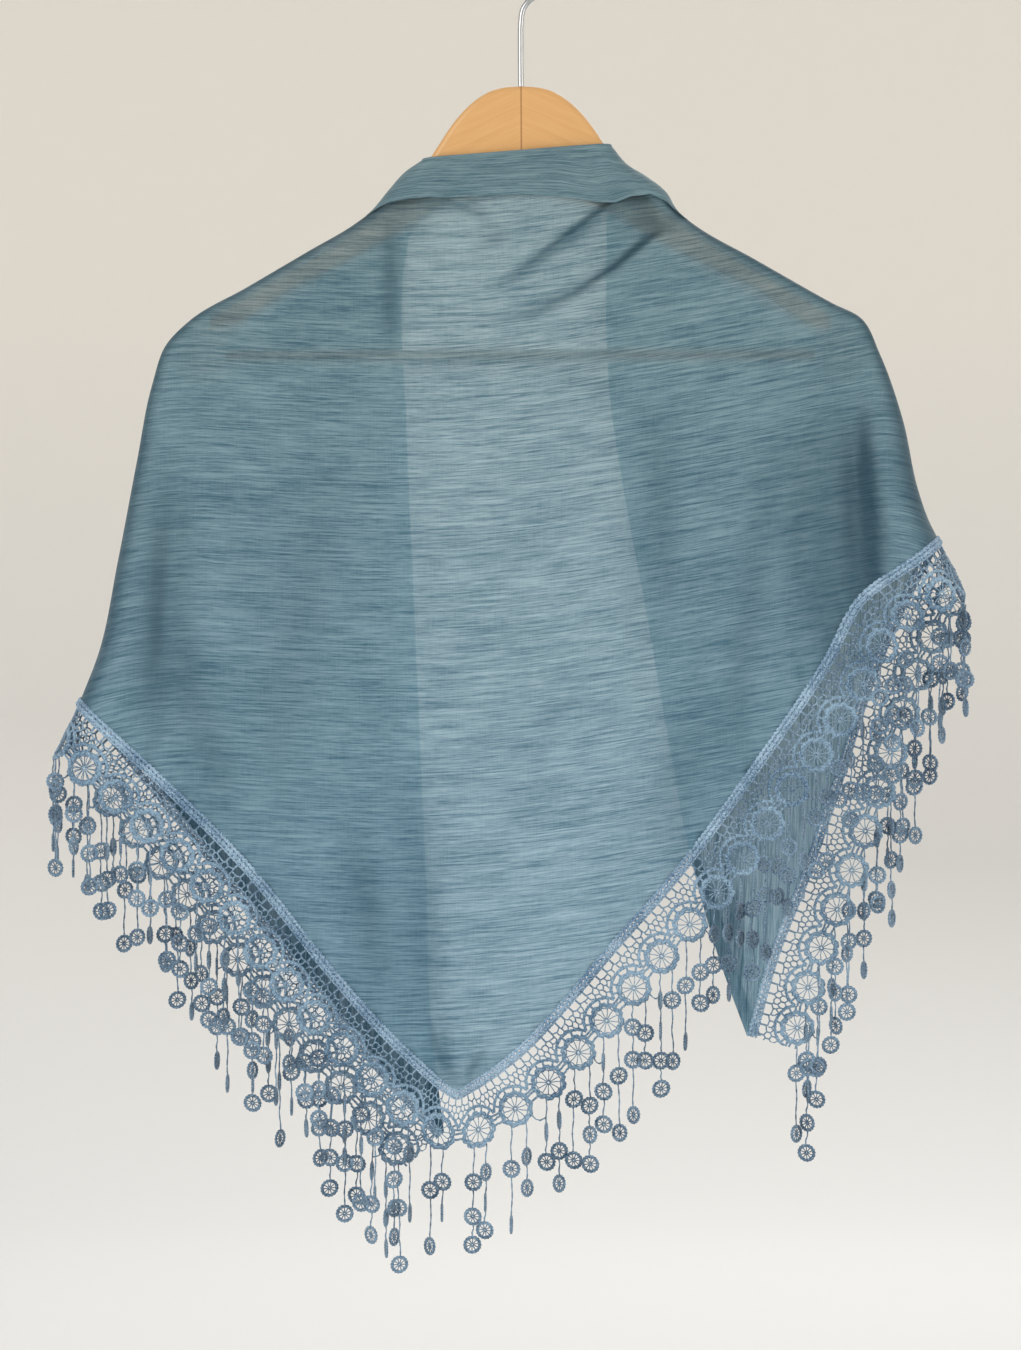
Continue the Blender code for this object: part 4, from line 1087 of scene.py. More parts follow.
scarf = mesh_object("scarf_cloth", np.vstack(cloth_points), np.vstack(cloth_faces), voile)
weave_map = scarf.data.uv_layers.new(name="weave")
weave_map.data.foreach_set("uv", np.vstack(cloth_weave).ravel())
for name, values in (("gather", cloth_density_and_painted_shade), ("stretch", cloth_stretch)):
    layer = scarf.data.attributes.new(name, "FLOAT", "POINT")
    layer.data.foreach_set("value", np.concatenate(values))

shape = bmesh.new()
shape.from_mesh(scarf.data)
bmesh.ops.remove_doubles(shape, verts=shape.verts, dist=WELD_DISTANCE)
bmesh.ops.recalc_face_normals(shape, faces=shape.faces)
shape.to_mesh(scarf.data)
shape.free()
scarf.data.shade_smooth()
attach(scarf, BODY)
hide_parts("scarf_middle_panel", "scarf_collar", "scarf_left_end", "scarf_right_end")
print("cloth:", len(scarf.data.polygons), "faces")

# %% [markdown]
# The lace is sewn to the hem and hangs square to it. To bend one flat design round a curved hem,
# each of its points is given as a distance along the band, a distance out from the hem, and a
# height off it. The band below turns those three into a place, so that a whole repeat can be
# drawn flat and then laid anywhere.

# %% Band: from flat lace to the hem
LACE_PITCH = 26.0 * MM
WHEEL_CENTRE = 28.0 * MM
FAN_REACH = 24.0 * MM
BAND_POINTS = 1200
FLAT_SHARE = 0.8
OUT_REACH = 12


class Band:
    """The hem that a length of lace follows."""

    def __init__(self, points, first_way, last_way, outward):
        along = lengths_along(points)
        self.points = read_line(points, np.linspace(0, 1, BAND_POINTS), along)
        heading = np.gradient(self.points, axis=0)
        square = np.column_stack((heading[:, 2], 0 * heading[:, 0], -heading[:, 0]))
        flat = np.linalg.norm(square, axis=1) / np.linalg.norm(heading, axis=1)
        down = unit_rows(square + 1e-12)
        down *= -np.sign(np.mean(down[:, 2]))
        if first_way is not None:
            down[: self.round_count(flat)] = first_way
        if last_way is not None:
            down[-self.round_count(flat[::-1]) :] = last_way
        self.down = self.evened(down, int(FAN_REACH * (BAND_POINTS - 1) / along[-1]))
        self.out = unit_rows(np.cross(heading, self.down))
        self.out *= np.sign(np.mean(self.out[:, 1]) * outward)
        self.out = self.evened(self.out, OUT_REACH)
        self.along = lengths_along(self.points + self.down * WHEEL_CENTRE)
        self.units = round(self.along[-1] / LACE_PITCH)

    @staticmethod
    def round_count(flat):
        """How many points at the start still bend round the turn."""
        return max(2, int(np.argmax(flat > FLAT_SHARE)))

    @staticmethod
    def evened(ways, reach):
        """Each way made the mean of its neighbours within a reach."""
        padded = np.vstack((np.repeat(ways[:1], reach, 0), ways, np.repeat(ways[-1:], reach, 0)))
        sums = np.cumsum(np.vstack((np.zeros((1, 3)), padded)), axis=0)
        return unit_rows(sums[2 * reach + 1 :] - sums[: -2 * reach - 1])

    def lay(self, flat):
        """Places of flat points: units along the band, metres out from the hem, metres off it."""
        index = np.interp(flat[:, 0] / self.units * self.along[-1], self.along, np.arange(BAND_POINTS))
        low = np.minimum(index.astype(int), BAND_POINTS - 2)
        part = (index - low)[:, None]
        point = self.points[low] * (1 - part) + self.points[low + 1] * part
        down = self.down[low] * (1 - part) + self.down[low + 1] * part
        out = self.out[low] * (1 - part) + self.out[low + 1] * part
        return point + down * flat[:, 1:2] + out * flat[:, 2:3]


def fold_way(turn):
    x, z = unit_rows(turn.line[-1] - turn.line[-4])
    return np.array((x, 0.0, z))


middle_band = Band(middle_hem, fold_way(left_turn), fold_way(right_turn), -1)
left_end_hem = np.vstack((left_rounding[:-1, -1], left_end[-1, ::-1]))
right_end_hem = np.vstack((right_rounding[:-1, -1], right_end[-1, ::-1]))
left_band = Band(left_end_hem, fold_way(left_turn), None, 1)
right_band = Band(right_end_hem, fold_way(right_turn), None, 1)
print("repeats:", middle_band.units, left_band.units, right_band.units)

# %% [markdown]
# Embroidered lace is all thread: raised cords, thin bars and close stitches. Each thread is a tube
# along a line, flattened where stitches lie side by side. One function makes a tube from its line,
# and one more joins many tubes into a single flat design.

# %% Threads


def tube(line, radius, sides=4, closed=False, flatten=1.0):
    """Points and faces of a tube. The line is flat lace in metres, and flatten is height to width."""
    line = np.asarray(line, dtype=float)
    count = len(line)
    radius = np.broadcast_to(radius, count)
    if closed:
        heading = np.roll(line, -1, axis=0) - np.roll(line, 1, axis=0)
    else:
        heading = np.gradient(line, axis=0)
    heading = unit_rows(heading + 1e-12)
    up = np.array((0.0, 0.0, 1.0)) if abs(heading[:, 2]).mean() < 0.7 else np.array((0.0, 1.0, 0.0))
    across = unit_rows(np.cross(heading, up))
    rise = np.cross(across, heading)
    angles = (np.arange(sides) + 0.5) * math.tau / sides
    ring = across[:, None] * np.cos(angles)[None, :, None]
    ring = ring + rise[:, None] * np.sin(angles)[None, :, None] * flatten
    points = line[:, None] + ring * radius[:, None, None]
    faces = []
    for step in range(count if closed else count - 1):
        here, there = step * sides, (step + 1) % count * sides
        for side in range(sides):
            after = (side + 1) % sides
            faces.append((here + side, there + side, there + after, here + after))
    points = points.reshape(-1, 3)
    if closed:
        return points, faces
    ends = np.array((line[0], line[-1]))
    first, last = len(points), len(points) + 1
    for side in range(sides):
        after = (side + 1) % sides
        faces.append((first, side, after))
        faces.append((last, (count - 1) * sides + after, (count - 1) * sides + side))
    return np.vstack((points, ends)), faces


class Design:
    """Many tubes gathered into one set of points and faces."""

    def __init__(self):
        self.points, self.faces, self.count = [], [], 0

    def add(self, points, faces):
        self.points.append(points)
        self.faces += [tuple(corner + self.count for corner in face) for face in faces]
        self.count += len(points)

    def thread(self, line, radius, sides=4, closed=False, flatten=1.0):
        self.add(*tube(line, radius, sides, closed, flatten))

    def all_points(self):
        return np.vstack(self.points)


def circle(middle, radius, steps, lobes=0, depth=0.0):
    """A closed line round a middle, with scallops if it has lobes."""
    angles = np.arange(steps) * math.tau / steps
    reach = radius + depth * np.abs(np.cos(lobes * angles / 2)) if lobes else np.full(steps, radius)
    across, out = middle[0] + reach * np.sin(angles), middle[1] - reach * np.cos(angles)
    return np.column_stack((across, out, 0 * angles))


print("a plain bar has", len(tube([(0, 0, 0), (1, 0, 0)], 0.1)[1]), "faces")

# %% [markdown]
# The big wheel of the lace is a scalloped ring of thick knotted stitches, with a thinner ring
# inside it, a small hub and twelve thin spokes. It is drawn from circles and rays, as a lace
# pattern is, and every number below was measured against the photograph's scale.

# %% One wheel
WHEEL_RADIUS = 9.0 * MM
RING_HALF = 1.5 * MM
RING_LOBES = 10
LOBE_DEPTH = 1.4 * MM
RING_STEPS = 80
RING_KNOTS = 30
KNOT_BULGE = 0.2
SPOKES = 12
HUB_RADIUS = 1.2 * MM


def add_wheel(design, middle, rng):
    turn = rng.uniform(0, math.tau)
    ring = circle(middle, WHEEL_RADIUS - 0.5 * MM, RING_STEPS, RING_LOBES, LOBE_DEPTH)
    knots = 1 + KNOT_BULGE * np.sin(np.arange(RING_STEPS) * math.tau / RING_STEPS * RING_KNOTS + turn)
    design.thread(ring, RING_HALF * knots, 6, closed=True, flatten=0.6)
    inner = circle(middle, WHEEL_RADIUS - 1.75 * MM, 4 * SPOKES, SPOKES, 0.65 * MM)
    design.thread(inner, 0.5 * MM, 4, closed=True, flatten=0.8)
    design.thread(circle(middle, HUB_RADIUS, 14), 0.6 * MM, 5, closed=True)
    for spoke in range(SPOKES):
        angle = turn + spoke * math.tau / SPOKES + rng.uniform(-0.05, 0.05)
        way = np.array((math.sin(angle), -math.cos(angle), 0.0))
        start = np.array((*middle, 0.0))
        bow = np.array((way[1], -way[0], 0.0)) * rng.uniform(-0.3, 0.3) * MM
        line = [start + way * HUB_RADIUS, start + way * 4.6 * MM + bow, start + way * 7.9 * MM]
        design.thread(line, 0.4 * MM, 4)


trial = Design()
add_wheel(trial, (0.0, 0.0), random.Random(1))
print("a wheel has", len(trial.faces), "faces")

# %% [markdown]
# Between the braid and the wheels lies a net. Its first row has the largest cells, four to a
# repeat. Below are small six-sided cells, which also fill the notch between two wheels. A thick
# scalloped cord follows each wheel, and short bars between them make the row of loops that hugs
# it. Every corner is moved a little at random, since a soft net never hangs regular.

# %% Net, loops and links
UNIT = LACE_PITCH
HALF_UNIT = UNIT / 2
FAN_RADIUS = 13.9 * MM
LARGE_CELLS = 4
SMALL_CELLS = 7
NET_START = 4.4 * MM
LARGE_HEIGHT = 5.2 * MM
SMALL_HEIGHT = 3.9 * MM
SMALL_ROWS = 4
CELL_THREAD = 0.62 * MM
NET_SHAKE = 0.42 * MM
NET_ZIG = 0.8 * MM
LOOP_ANGLES = range(-84, 85, 28)
FAN_STEPS = 41
FAN_CORD = 1.05 * MM
BAR_HALF = 0.75 * MM
LINK_PLACES = (-3.6 * MM, 2.4 * MM)


def fan_line(across):
    """How far out the scalloped cord over a wheel lies, at a place across the repeat."""
    return WHEEL_CENTRE - math.sqrt(max(FAN_RADIUS**2 - (across - HALF_UNIT) ** 2, 0.0))


def add_net(design, rng):
    def shaken(across, out):
        if min(across, UNIT - across) < 0.1 * MM:
            return (across, out, 0.0)
        across += rng.uniform(-NET_SHAKE, NET_SHAKE)
        return (across, out + rng.uniform(-NET_SHAKE, NET_SHAKE), 0.0)

    first_line = NET_START + LARGE_HEIGHT
    large = [shaken((k + 0.5) * UNIT / LARGE_CELLS, first_line - 0.7 * MM) for k in range(LARGE_CELLS)]
    for place in large:
        design.thread([(place[0], NET_START, 0.0), place], CELL_THREAD * 1.1, 5, flatten=0.8)
    step = UNIT / (2 * SMALL_CELLS)
    lines = []
    for row in range(SMALL_ROWS + 1):
        line = []
        for k in range(2 * SMALL_CELLS + 1):
            zig = NET_ZIG * (-1 if (k + row) % 2 == 0 else 1)
            line.append(shaken(k * step, first_line + row * SMALL_HEIGHT + zig))
        lines.append(line)
    lines[0] = sorted([place for place in lines[0] if place[1] > first_line - 0.2 * MM] + large)
    ends = [(edge, first_line, 0.0) for edge in (0.0, UNIT)]
    lines[0] = [ends[0], *[place for place in lines[0] if 0.5 * MM < place[0] < UNIT - 0.5 * MM], ends[1]]
    for line in lines:
        for start, end in zip(line, line[1:]):
            if start[1] < fan_line(start[0]) and end[1] < fan_line(end[0]):
                design.thread([start, end], CELL_THREAD, 4, flatten=0.8)
    for row in range(1, SMALL_ROWS + 1):
        for k in range(2 * SMALL_CELLS + 1):
            foot = lines[row][k]
            out = first_line + (row - 1) * SMALL_HEIGHT + NET_ZIG
            if (k + row) % 2 == 0 and out < fan_line(foot[0]) - 0.4 * MM:
                reach = min(foot[1], fan_line(foot[0]))
                design.thread([(foot[0], out, 0.0), (foot[0], reach, 0.0)], CELL_THREAD, 4, flatten=0.8)


def add_fan(design, rng):
    line = [(across, fan_line(across), 0.0) for across in np.linspace(0, UNIT, FAN_STEPS)]
    knots = 1 + KNOT_BULGE * np.sin(np.arange(FAN_STEPS) * 2.1)
    design.thread(line, FAN_CORD * knots, 6, flatten=0.7)
    middle = np.array((HALF_UNIT, WHEEL_CENTRE, 0.0))
    for degrees in LOOP_ANGLES:
        angle = math.radians(degrees + rng.uniform(-3, 3))
        way = np.array((math.sin(angle), -math.cos(angle), 0.0))
        reach = min(FAN_RADIUS, HALF_UNIT / max(abs(way[0]), 0.01))
        design.thread([middle + way * 9.8 * MM, middle + way * reach], BAR_HALF, 5, flatten=0.8)
    for below in LINK_PLACES:
        out = WHEEL_CENTRE + below
        reach = math.sqrt((WHEEL_RADIUS + 0.4 * MM) ** 2 - below**2)
        bow = rng.uniform(-0.5, 0.5) * MM
        for start, end in ((HALF_UNIT + reach, UNIT), (HALF_UNIT - reach, 0.0)):
            design.thread([(start, out, 0.0), (end, out + bow, 0.0)], BAR_HALF, 5)


trial = Design()
add_net(trial, random.Random(2))
add_fan(trial, random.Random(2))
print("net and loops have", len(trial.faces), "faces a repeat")

# %% [markdown]
# The braid that covers the seam is two thick cords side by side, each twisted, with bulges where
# the plies cross, and a thinner cord below. A twisted cord seen from a step away is a tube whose
# thickness ripples, so it is made that way, with the cords out of step.

# %% Braid
CORDS = (
    # distance from the hem, half thickness, height off the band, spacing of the bulges
    (0.2 * MM, 1.1 * MM, 0.5 * MM, 3.1 * MM),
    (2.7 * MM, 1.2 * MM, 0.9 * MM, 3.4 * MM),
    (4.7 * MM, 0.75 * MM, 0.2 * MM, 2.4 * MM),
)
CORD_STEP = 0.7 * MM
CORD_BULGE = 0.6
CORD_WANDER = 0.35 * MM


def add_braid(design, units):
    """The cords run the whole length of the band, so this is laid once and not for each repeat."""
    steps = int(units * UNIT / CORD_STEP)
    place = np.linspace(0, units * UNIT, steps)
    for out, half, height, spacing in CORDS:
        phase = out / MM
        radius = half * (1 - CORD_BULGE / 2 + CORD_BULGE * np.abs(np.sin(place * math.pi / spacing + phase)))
        wander = CORD_WANDER * np.sin(place * math.tau / spacing + phase)
        line = np.column_stack((place, out + wander, np.full(steps, height)))
        design.thread(line, radius, 6, flatten=0.8)


print("braid:", len(CORDS), "cords")

# %% [markdown]
# Now a whole length of lace: a braid, and for each repeat a net, a fan and a wheel. The band lays
# the flat design on its hem. A slow wave keeps it from lying dead flat, as cotton lace never does.

# %% Lengths of lace
LACE_WAVE = 0.7 * MM
WAVE_TURN = 2.3
WAVE_FROM = 20 * MM


def lace_length(name, band, first, last, seed, replaced):
    rng = random.Random(seed)
    whole = Design()
    braid = Design()
    add_braid(braid, last - first)
    whole.add(braid.all_points(), braid.faces)
    for unit in range(last - first):
        repeat = Design()
        add_net(repeat, rng)
        add_fan(repeat, rng)
        add_wheel(repeat, (HALF_UNIT, WHEEL_CENTRE), rng)
        whole.add(repeat.all_points() + np.array((unit * UNIT, 0.0, 0.0)), repeat.faces)
    flat = whole.all_points()
    flat[:, 0] = flat[:, 0] / UNIT + first
    wave = LACE_WAVE * np.sin(flat[:, 0] * WAVE_TURN + seed)
    flat[:, 2] += wave * np.clip(flat[:, 1] / WAVE_FROM, 0, 1)
    item = mesh_object(name, band.lay(flat), whole.faces, embroidery)
    item.data.materials.append(braid_cotton_painted_highlight)
    in_braid = np.arange(len(whole.faces)) < len(braid.faces)
    item.data.polygons.foreach_set("material_index", in_braid.astype(np.int32))
    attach(item, BODY)
    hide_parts(replaced)
    print(name, len(whole.faces), "faces")
    return item


lowest_wheel = np.argmin((middle_band.points + middle_band.down * WHEEL_CENTRE)[:, 2])
point_unit = round(middle_band.along[lowest_wheel] / middle_band.along[-1] * middle_band.units)
LENGTHS = (
    # part of the hem, its band, first and last repeat, seed of its small differences
    ("middle_left", middle_band, 0, point_unit, 11),
    ("middle_right", middle_band, point_unit, middle_band.units, 12),
    ("left_end", left_band, 0, left_band.units, 13),
    ("right_end", right_band, 0, right_band.units, 14),
)
for suffix, band, first, last, seed in LENGTHS:
    lace_length("lace_of_" + suffix, band, first, last, seed, "lace_" + suffix)

# %% [markdown]
# Two strings hang from each wheel. A string is a thin twisted thread with two to four small discs
# on it, each a wheel of its own with ten spokes. Strings hang straight down whatever the slope of
# the hem, their discs turn on the thread so that some are seen edge on, and a slack thread often
# bridges from one wheel to the next string.

# %% Small disc
DISC_RADIUS = 4.65 * MM
DISC_RING_HALF = 1.1 * MM
DISC_SPOKES = 10
DISC_KNOBS = 16
KNOB_BULGE = 0.24
DISC_HUB = 0.8 * MM


def small_disc(rng):
    """A disc about its own middle: across, down and thick."""
    design = Design()
    steps = 2 * DISC_KNOBS
    knobs = 1 + KNOB_BULGE * np.cos(np.arange(steps) * math.pi)
    design.thread(circle((0, 0), DISC_RADIUS, steps), DISC_RING_HALF * knobs, 5, closed=True, flatten=0.7)
    design.thread(circle((0, 0), DISC_HUB, 9), 0.65 * MM, 4, closed=True)
    turn = rng.uniform(0, math.tau)
    for spoke in range(DISC_SPOKES):
        angle = turn + spoke * math.tau / DISC_SPOKES
        way = np.array((math.sin(angle), math.cos(angle), 0.0))
        design.thread([way * 0.9 * MM, way * 4.2 * MM], 0.42 * MM, 3)
    return design


trial = small_disc(random.Random(3))
print("a small disc has", len(trial.faces), "faces")

# %% [markdown]
# The imported strings are hidden, and new ones hang in their place, two from each wheel. Each is
# given its own discs: how many, how far apart, and how they turn. A table holds the usual patterns,
# read over and over along the edge and shaken a little, which is how the real fringe looks: regular
# in the making and uneven in the hanging.

# %% Hanging strings
STRING_PATTERNS = (
    # drop from the wheel to each disc, in millimetres
    (16.0, 34.5, 53.0),
    (19.0, 37.5),
    (15.0, 33.5, 68.0),
    (17.0, 35.5, 54.0),
    (24.0, 42.5, 61.0),
    (18.0, 56.0),
    (16.0, 34.5, 53.0, 71.5),
    (21.0, 39.5),
    (27.0, 62.0),
)
STRING_RADIUS = 0.58 * MM
STRING_STEP = 2.4 * MM
STRING_RIPPLE = 0.22
STRING_BOW = 0.5 * MM
ROOT_DEGREES = (-26.0, 24.0)
SWAY_DROP = 60.0
TURNED_SHARE = 0.25
EDGE_ON_SHARE = 0.2


def disc_ways(facing, lean):
    """Three ways for a disc's across, down and thick, when it faces a heading and leans."""
    across = np.array((math.cos(facing), math.sin(facing), 0.0))
    down = np.array((math.sin(lean) * across[0], math.sin(lean) * across[1], -math.cos(lean)))
    return np.array((across, down, np.cross(across, down)))


def disc_facing(heading, rng):
    """Most discs face the viewer, some are half turned, and some are seen edge on."""
    chance = rng.random()
    if chance < EDGE_ON_SHARE:
        return heading + math.radians(90) + rng.uniform(-0.2, 0.2)
    if chance < EDGE_ON_SHARE + TURNED_SHARE:
        return heading + rng.choice((-1, 1)) * rng.uniform(0.6, 1.1)
    return heading + rng.uniform(-0.3, 0.3)


def twisted_thread(design, start, end, sag, rng):
    """A thin thread with a ripple along it, as its twist shows."""
    steps = max(4, int(np.linalg.norm(end - start) / STRING_STEP))
    shares = np.linspace(0, 1, steps)
    line = start + (end - start) * shares[:, None]
    line[:, 2] -= sag * np.sin(shares * math.pi)
    line[:, 0] += STRING_BOW * np.sin(shares * math.pi * rng.uniform(1, 3)) * np.sin(shares * math.pi)
    ripple = 1 + STRING_RIPPLE * np.cos(np.arange(steps) * math.pi)
    design.thread(line, STRING_RADIUS * ripple, 4)


def hang_string(design, root, drops, heading, rng):
    """One string below its root: thread, disc, thread, and so on."""
    sway = rng.uniform(-1.2, 1.2) * MM
    depth = rng.uniform(-1.0, 1.0) * MM
    top = root
    for drop in drops:
        away = drop / SWAY_DROP
        middle = root + np.array((sway * away, depth * away, -drop * MM))
        ways = disc_ways(disc_facing(heading, rng), rng.uniform(-0.12, 0.12))
        disc = small_disc(rng)
        design.add(disc.all_points() @ ways + middle, disc.faces)
        twisted_thread(design, top, middle - ways[1] * DISC_RADIUS, 0.0, rng)
        top = middle + ways[1] * DISC_RADIUS


def wheel_ways(band, unit):
    """Where a wheel's middle is, the way along the band there, and the way its strings leave."""
    middle = np.array(((unit + 0.5, WHEEL_CENTRE, 0.0),))
    hub = band.lay(middle)[0]
    outward = unit_rows(band.lay(middle + np.array((0.0, 1.0 * MM, 0.0)))[0] - hub)
    along = unit_rows(band.lay(middle + np.array((0.01, 0.0, 0.0)))[0] - hub)
    square = np.cross(along, outward)
    down = np.array((0.0, 0.0, -1.0))
    lowest = unit_rows((down - square * (down @ square)) * 0.7 + outward * 0.3)
    return hub, along, lowest, unit_rows(np.cross(square, lowest))


BRIDGE_SHARE = 0.75
BRIDGE_REACH = 24 * MM
BRIDGE_SLOPE = -0.35
BRIDGE_FALL = 2.0 * MM
BRIDGE_SAG = (0.5, 3.0)


def add_bridges(design, wheels, rng):
    """A slack thread from each wheel to a string of the next wheel above it."""
    for (hub, roots), (next_hub, next_roots) in zip(wheels, wheels[1:]):
        if hub[2] > next_hub[2]:
            hub, next_hub, next_roots = next_hub, hub, roots
        toward = np.array((np.sign(next_hub[0] - hub[0]), 0.0, BRIDGE_SLOPE))
        start = hub + unit_rows(toward) * (WHEEL_RADIUS + 0.8 * MM)
        root = min(next_roots, key=lambda place: abs(place[0] - start[0]))
        target = np.array((root[0], root[1], start[2] - BRIDGE_FALL))
        near = np.linalg.norm(target - start) < BRIDGE_REACH
        if near and root[2] - target[2] > 2 * BRIDGE_FALL and rng.random() < BRIDGE_SHARE:
            twisted_thread(design, start, target, rng.uniform(*BRIDGE_SAG) * MM, rng)


def fringe_length(name, band, first, last, seed, replaced):
    rng = random.Random(seed)
    design = Design()
    number = seed
    wheels = []
    for unit in range(first, last):
        hub, along, lowest, beside = wheel_ways(band, unit)
        heading = math.atan2(along[1] * np.sign(along[0]), abs(along[0]))
        roots = []
        for degrees in ROOT_DEGREES:
            angle = math.radians(degrees + rng.uniform(-5, 5))
            way = lowest * math.cos(angle) + beside * math.sin(angle)
            roots.append(hub + way * (WHEEL_RADIUS + 1.0 * MM))
            pattern = STRING_PATTERNS[number % len(STRING_PATTERNS)]
            drops = [drop + rng.uniform(-1.5, 1.5) for drop in pattern]
            hang_string(design, roots[-1], drops, heading, rng)
            number += 3 if rng.random() < 0.4 else 1
        wheels.append((hub, roots))
    add_bridges(design, wheels, rng)
    item = mesh_object(name, design.all_points(), design.faces, string_cotton)
    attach(item, BODY)
    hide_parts(replaced)
    print(name, len(design.faces), "faces")
    return item


for suffix, band, first, last, seed in LENGTHS:
    fringe_length("strings_of_" + suffix, band, first, last, seed, "fringe_" + suffix)

# %% [markdown]
# The hanger's pale beech was cut from two boards glued at the middle, sanded round and lacquered
# clear. The eye sees long brown grain lines, finer pores along them, a thin dark glue line and a
# soft gloss. Grain is noise stretched along the board, and it runs the other way in each half.

# %% Material: lacquered beech
GRAIN_PATTERNS = (
    # length along the board, width across it, octaves of detail
    (120.0 * MM, 6.0 * MM, 3.0),
    (20.0 * MM, 0.7 * MM, 2.0),
)
BOARD_SLOPE = math.radians(24)


def lacquered_beech():
    material, tree = new_material("lacquered_beech")
    place = add_node(tree, "ShaderNodeTexCoord", {})
    split = add_node(tree, "ShaderNodeSeparateXYZ", {}, {0: place.outputs["Object"]})
    half = add_node(tree, "ShaderNodeMath", {"operation": "ABSOLUTE"}, {0: split.outputs[0]})
    links = {0: half.outputs[0], 1: split.outputs[1], 2: split.outputs[2]}
    folded = add_node(tree, "ShaderNodeCombineXYZ", {}, links)
    slope = {"Rotation": (0.0, -BOARD_SLOPE, 0.0)}
    turned = add_node(tree, "ShaderNodeMapping", slope, {"Vector": folded.outputs[0]})
    grains = []
    for length, width, detail in GRAIN_PATTERNS:
        scale = (1 / length, 1 / width, 1 / width)
        run = add_node(tree, "ShaderNodeMapping", {"Scale": scale}, {"Vector": turned.outputs[0]})
        noise = {"Scale": 1.0, "Detail": detail, "Distortion": 0.6}
        grains.append(add_node(tree, "ShaderNodeTexNoise", noise, {"Vector": run.outputs[0]}).outputs[0])
    both = add_node(tree, "ShaderNodeMix", {"Factor": 0.5}, {2: grains[0], 3: grains[1]})
    spread = {"From Min": 0.35, "From Max": 0.65}
    tone = add_node(tree, "ShaderNodeMapRange", spread, {"Value": both.outputs[0]})
    boards = {"data_type": "RGBA", 6: linear("#c9985e"), 7: linear("#d0a269")}
    board = add_node(tree, "ShaderNodeMix", boards, {0: tone.outputs[0]})
    seam = {"From Min": 0.25 * MM, "From Max": 0.7 * MM, "To Min": 0.7, "To Max": 0.0}
    glue = add_node(tree, "ShaderNodeMapRange", seam, {"Value": half.outputs[0]})
    line = {"data_type": "RGBA", 7: linear("#8a5a2c")}
    colour = add_node(tree, "ShaderNodeMix", line, {0: glue.outputs[0], 6: board.outputs[2]})
    relief = {"Strength": 0.12, "Distance": 0.3 * MM}
    bump = add_node(tree, "ShaderNodeBump", relief, {"Height": grains[1]})
    lacquer = {"Roughness": 0.42, "Coat Weight": 0.25, "Coat Roughness": 0.25}
    links = {"Base Color": colour.outputs[2], "Normal": bump.outputs[0]}
    wood = add_node(tree, "ShaderNodeBsdfPrincipled", lacquer, links)
    add_node(tree, "ShaderNodeOutputMaterial", {}, {"Surface": wood.outputs[0]})
    return material


beech = lacquered_beech()
print("material:", beech.name)

# %% [markdown]
# The hook is steel wire, drawn to size, bent and plated with chrome. Chrome is a bright, slightly
# blue metal, and drawing leaves faint scratches along the wire that widen its highlights.

# %% Material: chromed wire
SCRATCH_SPACING = MM / 0.9


def chromed_wire():
    material, tree = new_material("chromed_wire")
    place = add_node(tree, "ShaderNodeTexCoord", {})
    fine = {"Scale": 1 / SCRATCH_SPACING, "Detail": 2.0}
    scratch = add_node(tree, "ShaderNodeTexNoise", fine, {"Vector": place.outputs["Object"]})
    polish = {"To Min": 0.12, "To Max": 0.32}
    rough = add_node(tree, "ShaderNodeMapRange", polish, {"Value": scratch.outputs[0]})
    plating = {"Base Color": linear("#adafb2"), "Metallic": 1.0}
    metal = add_node(tree, "ShaderNodeBsdfPrincipled", plating, {"Roughness": rough.outputs[0]})
    add_node(tree, "ShaderNodeOutputMaterial", {}, {"Surface": metal.outputs[0]})
    return material


chrome = chromed_wire()
print("material:", chrome.name)

# %% [markdown]
# The wood's outline is half a table and half its mirror, as a maker cuts two arms from one
# template. A flat curve filled and thickened gives the board, and a wide round bevel the sanding.
# The whole hanger leans a third of a degree, as it does in the photograph.

# %% Hanger's wood
HANGER_TILT = math.radians(-0.35)
WOOD_THICKNESS = 13.0 * MM
WOOD_ROUNDING = 3.4 * MM
WOOD_TOP_EDGE = (
    # x, z
    (0.0, -97.2),
    (10.0, -97.8),
    (18.0, -99.8),
    (27.0, -104.8),
    (35.0, -111.8),
    (43.0, -121.3),
    (51.0, -133.3),
    (60.0, -146.5),
    (70.0, -157.8),
    (80.0, -168.0),
    (92.0, -178.0),
    (188.0, -235.0),
    (200.5, -242.3),
    (206.5, -250.5),
    (210.5, -260.0),
    (210.0, -270.0),
    (205.0, -277.0),
    (194.0, -279.0),
    (186.5, -276.0),
    (184.0, -270.0),
)
WOOD_BOTTOM_EDGE = (
    # x, z
    (184.0, -254.0),
    (178.0, -247.5),
    (72.0, -186.4),
    (48.0, -171.6),
    (30.0, -162.5),
    (0.0, -161.8),
)


def wood_outline():
    top = smooth_line(WOOD_TOP_EDGE, 4)
    bottom = smooth_line(WOOD_BOTTOM_EDGE, 3)
    half = [tuple(point) for point in np.vstack((top, bottom))]
    return half + [(-x, z) for x, z in reversed(half[1:-1])]


def curve_object(name, curve, material):
    """Turn a curve into a mesh with its loose caps welded."""
    holder = bpy.data.objects.new(name + "_curve", curve)
    bpy.context.scene.collection.objects.link(holder)
    bpy.context.view_layer.update()
    mesh = bpy.data.meshes.new_from_object(holder.evaluated_get(bpy.context.evaluated_depsgraph_get()))
    bpy.data.objects.remove(holder, do_unlink=True)
    welded = bmesh.new()
    welded.from_mesh(mesh)
    bmesh.ops.remove_doubles(welded, verts=welded.verts, dist=0.001 * MM)
    welded.to_mesh(mesh)
    welded.free()
    mesh.materials.clear()
    mesh.materials.append(material)
    item = bpy.data.objects.new(name, mesh)
    bpy.context.scene.collection.objects.link(item)
    return item


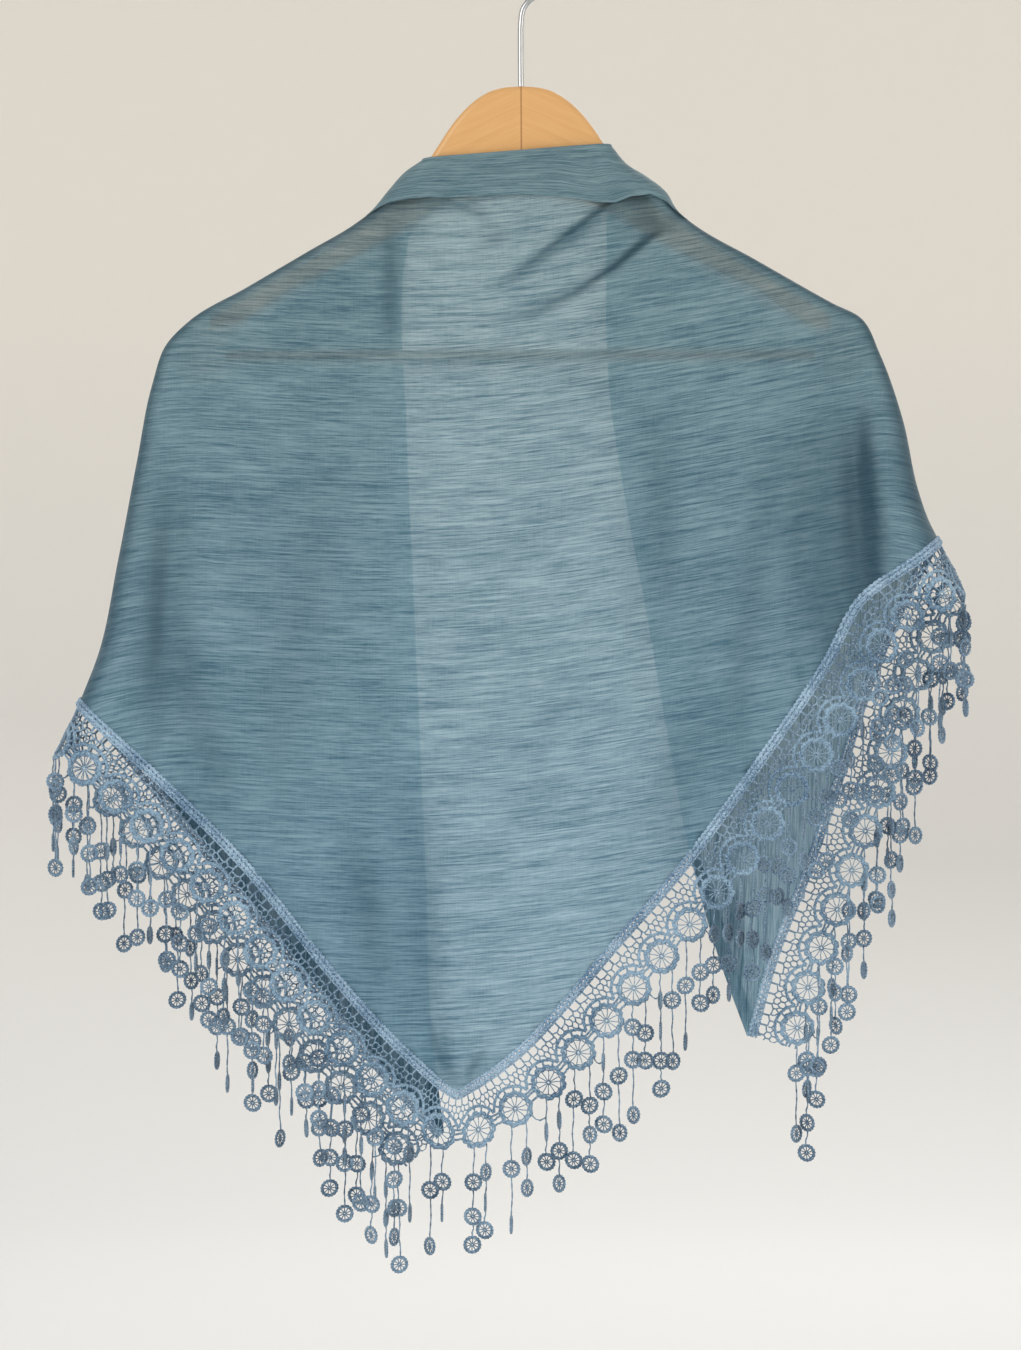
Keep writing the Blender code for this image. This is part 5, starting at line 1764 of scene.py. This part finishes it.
board = bpy.data.curves.new("hanger_board", "CURVE")
board.dimensions = "2D"
board.fill_mode = "BOTH"
board.extrude = WOOD_THICKNESS / 2
spline = board.splines.new("POLY")
outline = wood_outline()
spline.points.add(len(outline) - 1)
for point, (x, z) in zip(spline.points, outline):
    point.co = (x, z, 0.0, 1.0)
spline.use_cyclic_u = True
wood = curve_object("hanger_board", board, beech)
wood.data.transform(Matrix.Rotation(math.radians(90), 4, "X"))
wood.rotation_euler = (0.0, HANGER_TILT, 0.0)
rounding = wood.modifiers.new("sanded_edges", "BEVEL")
rounding.width = WOOD_ROUNDING
rounding.segments = 5
rounding.use_clamp_overlap = False
rounding.limit_method = "ANGLE"
rounding.angle_limit = math.radians(60)
wood.data.shade_smooth()
wood.data.set_sharp_from_angle(angle=math.radians(40))
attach(wood, BODY)
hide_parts("hanger_wood")
print("board:", len(outline), "points round")

# %% [markdown]
# The bar is a plain turned dowel, and its packed form is right, so it only takes the wood finish.
# The hook is bent from one wire: a stem out of the wood, a lean, and most of a circle round the
# rail, with its end ground round.

# %% Bar and hook
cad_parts["hanger_bar"].material_slots[0].material = beech

WIRE_RADIUS = 1.8 * MM
HOOK_INNER_RADIUS = 21.0 * MM
STEM_IN_WOOD = 18.0 * MM
WOOD_TOP_Z = -97.2 * MM
HOOK_END_DEGREES = 204
WIRE_SIDES = 14
GROUND_END = 0.55

route = [(0.0, WOOD_TOP_Z - STEM_IN_WOOD), (0.0, WOOD_TOP_Z)]
route += [(x * MM, z * MM) for x, z in ((0.0, -70.0), (0.3, -57.0), (1.6, -49.5), (5.2, -44.2))]
reach = HOOK_INNER_RADIUS + WIRE_RADIUS
for degrees in range(-52, HOOK_END_DEGREES, 8):
    angle = math.radians(degrees)
    route.append((reach * math.cos(angle), -HOOK_INNER_RADIUS + reach * math.sin(angle)))
wire_line = smooth_line([(x / MM, z / MM) for x, z in route], 3)
wire_line = np.column_stack((wire_line[:, 0], 0 * wire_line[:, 0], wire_line[:, 1]))
thickness = np.full(len(wire_line), WIRE_RADIUS)
thickness[-1] = WIRE_RADIUS * GROUND_END
heading = unit_rows(np.gradient(wire_line, axis=0))
sideways = np.array((0.0, 1.0, 0.0))
rise = np.cross(sideways, heading)
angles = np.arange(WIRE_SIDES) * math.tau / WIRE_SIDES
rings = wire_line[:, None] + thickness[:, None, None] * (
    sideways * np.cos(angles)[None, :, None] + rise[:, None] * np.sin(angles)[None, :, None]
)
wire_faces = grid_faces(len(wire_line), WIRE_SIDES, closed=True).tolist()
last_ring = WIRE_SIDES * (len(wire_line) - 1)
wire_faces += [tuple(range(WIRE_SIDES)), tuple(range(last_ring, last_ring + WIRE_SIDES))]
hook = mesh_object("hook_wire", rings, wire_faces, chrome)
hook.data.set_sharp_from_angle(angle=math.radians(60))
hook.rotation_euler = (0.0, HANGER_TILT, 0.0)
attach(hook, BODY)
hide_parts("hanger_hook")
print("hook:", len(wire_line), "rings")
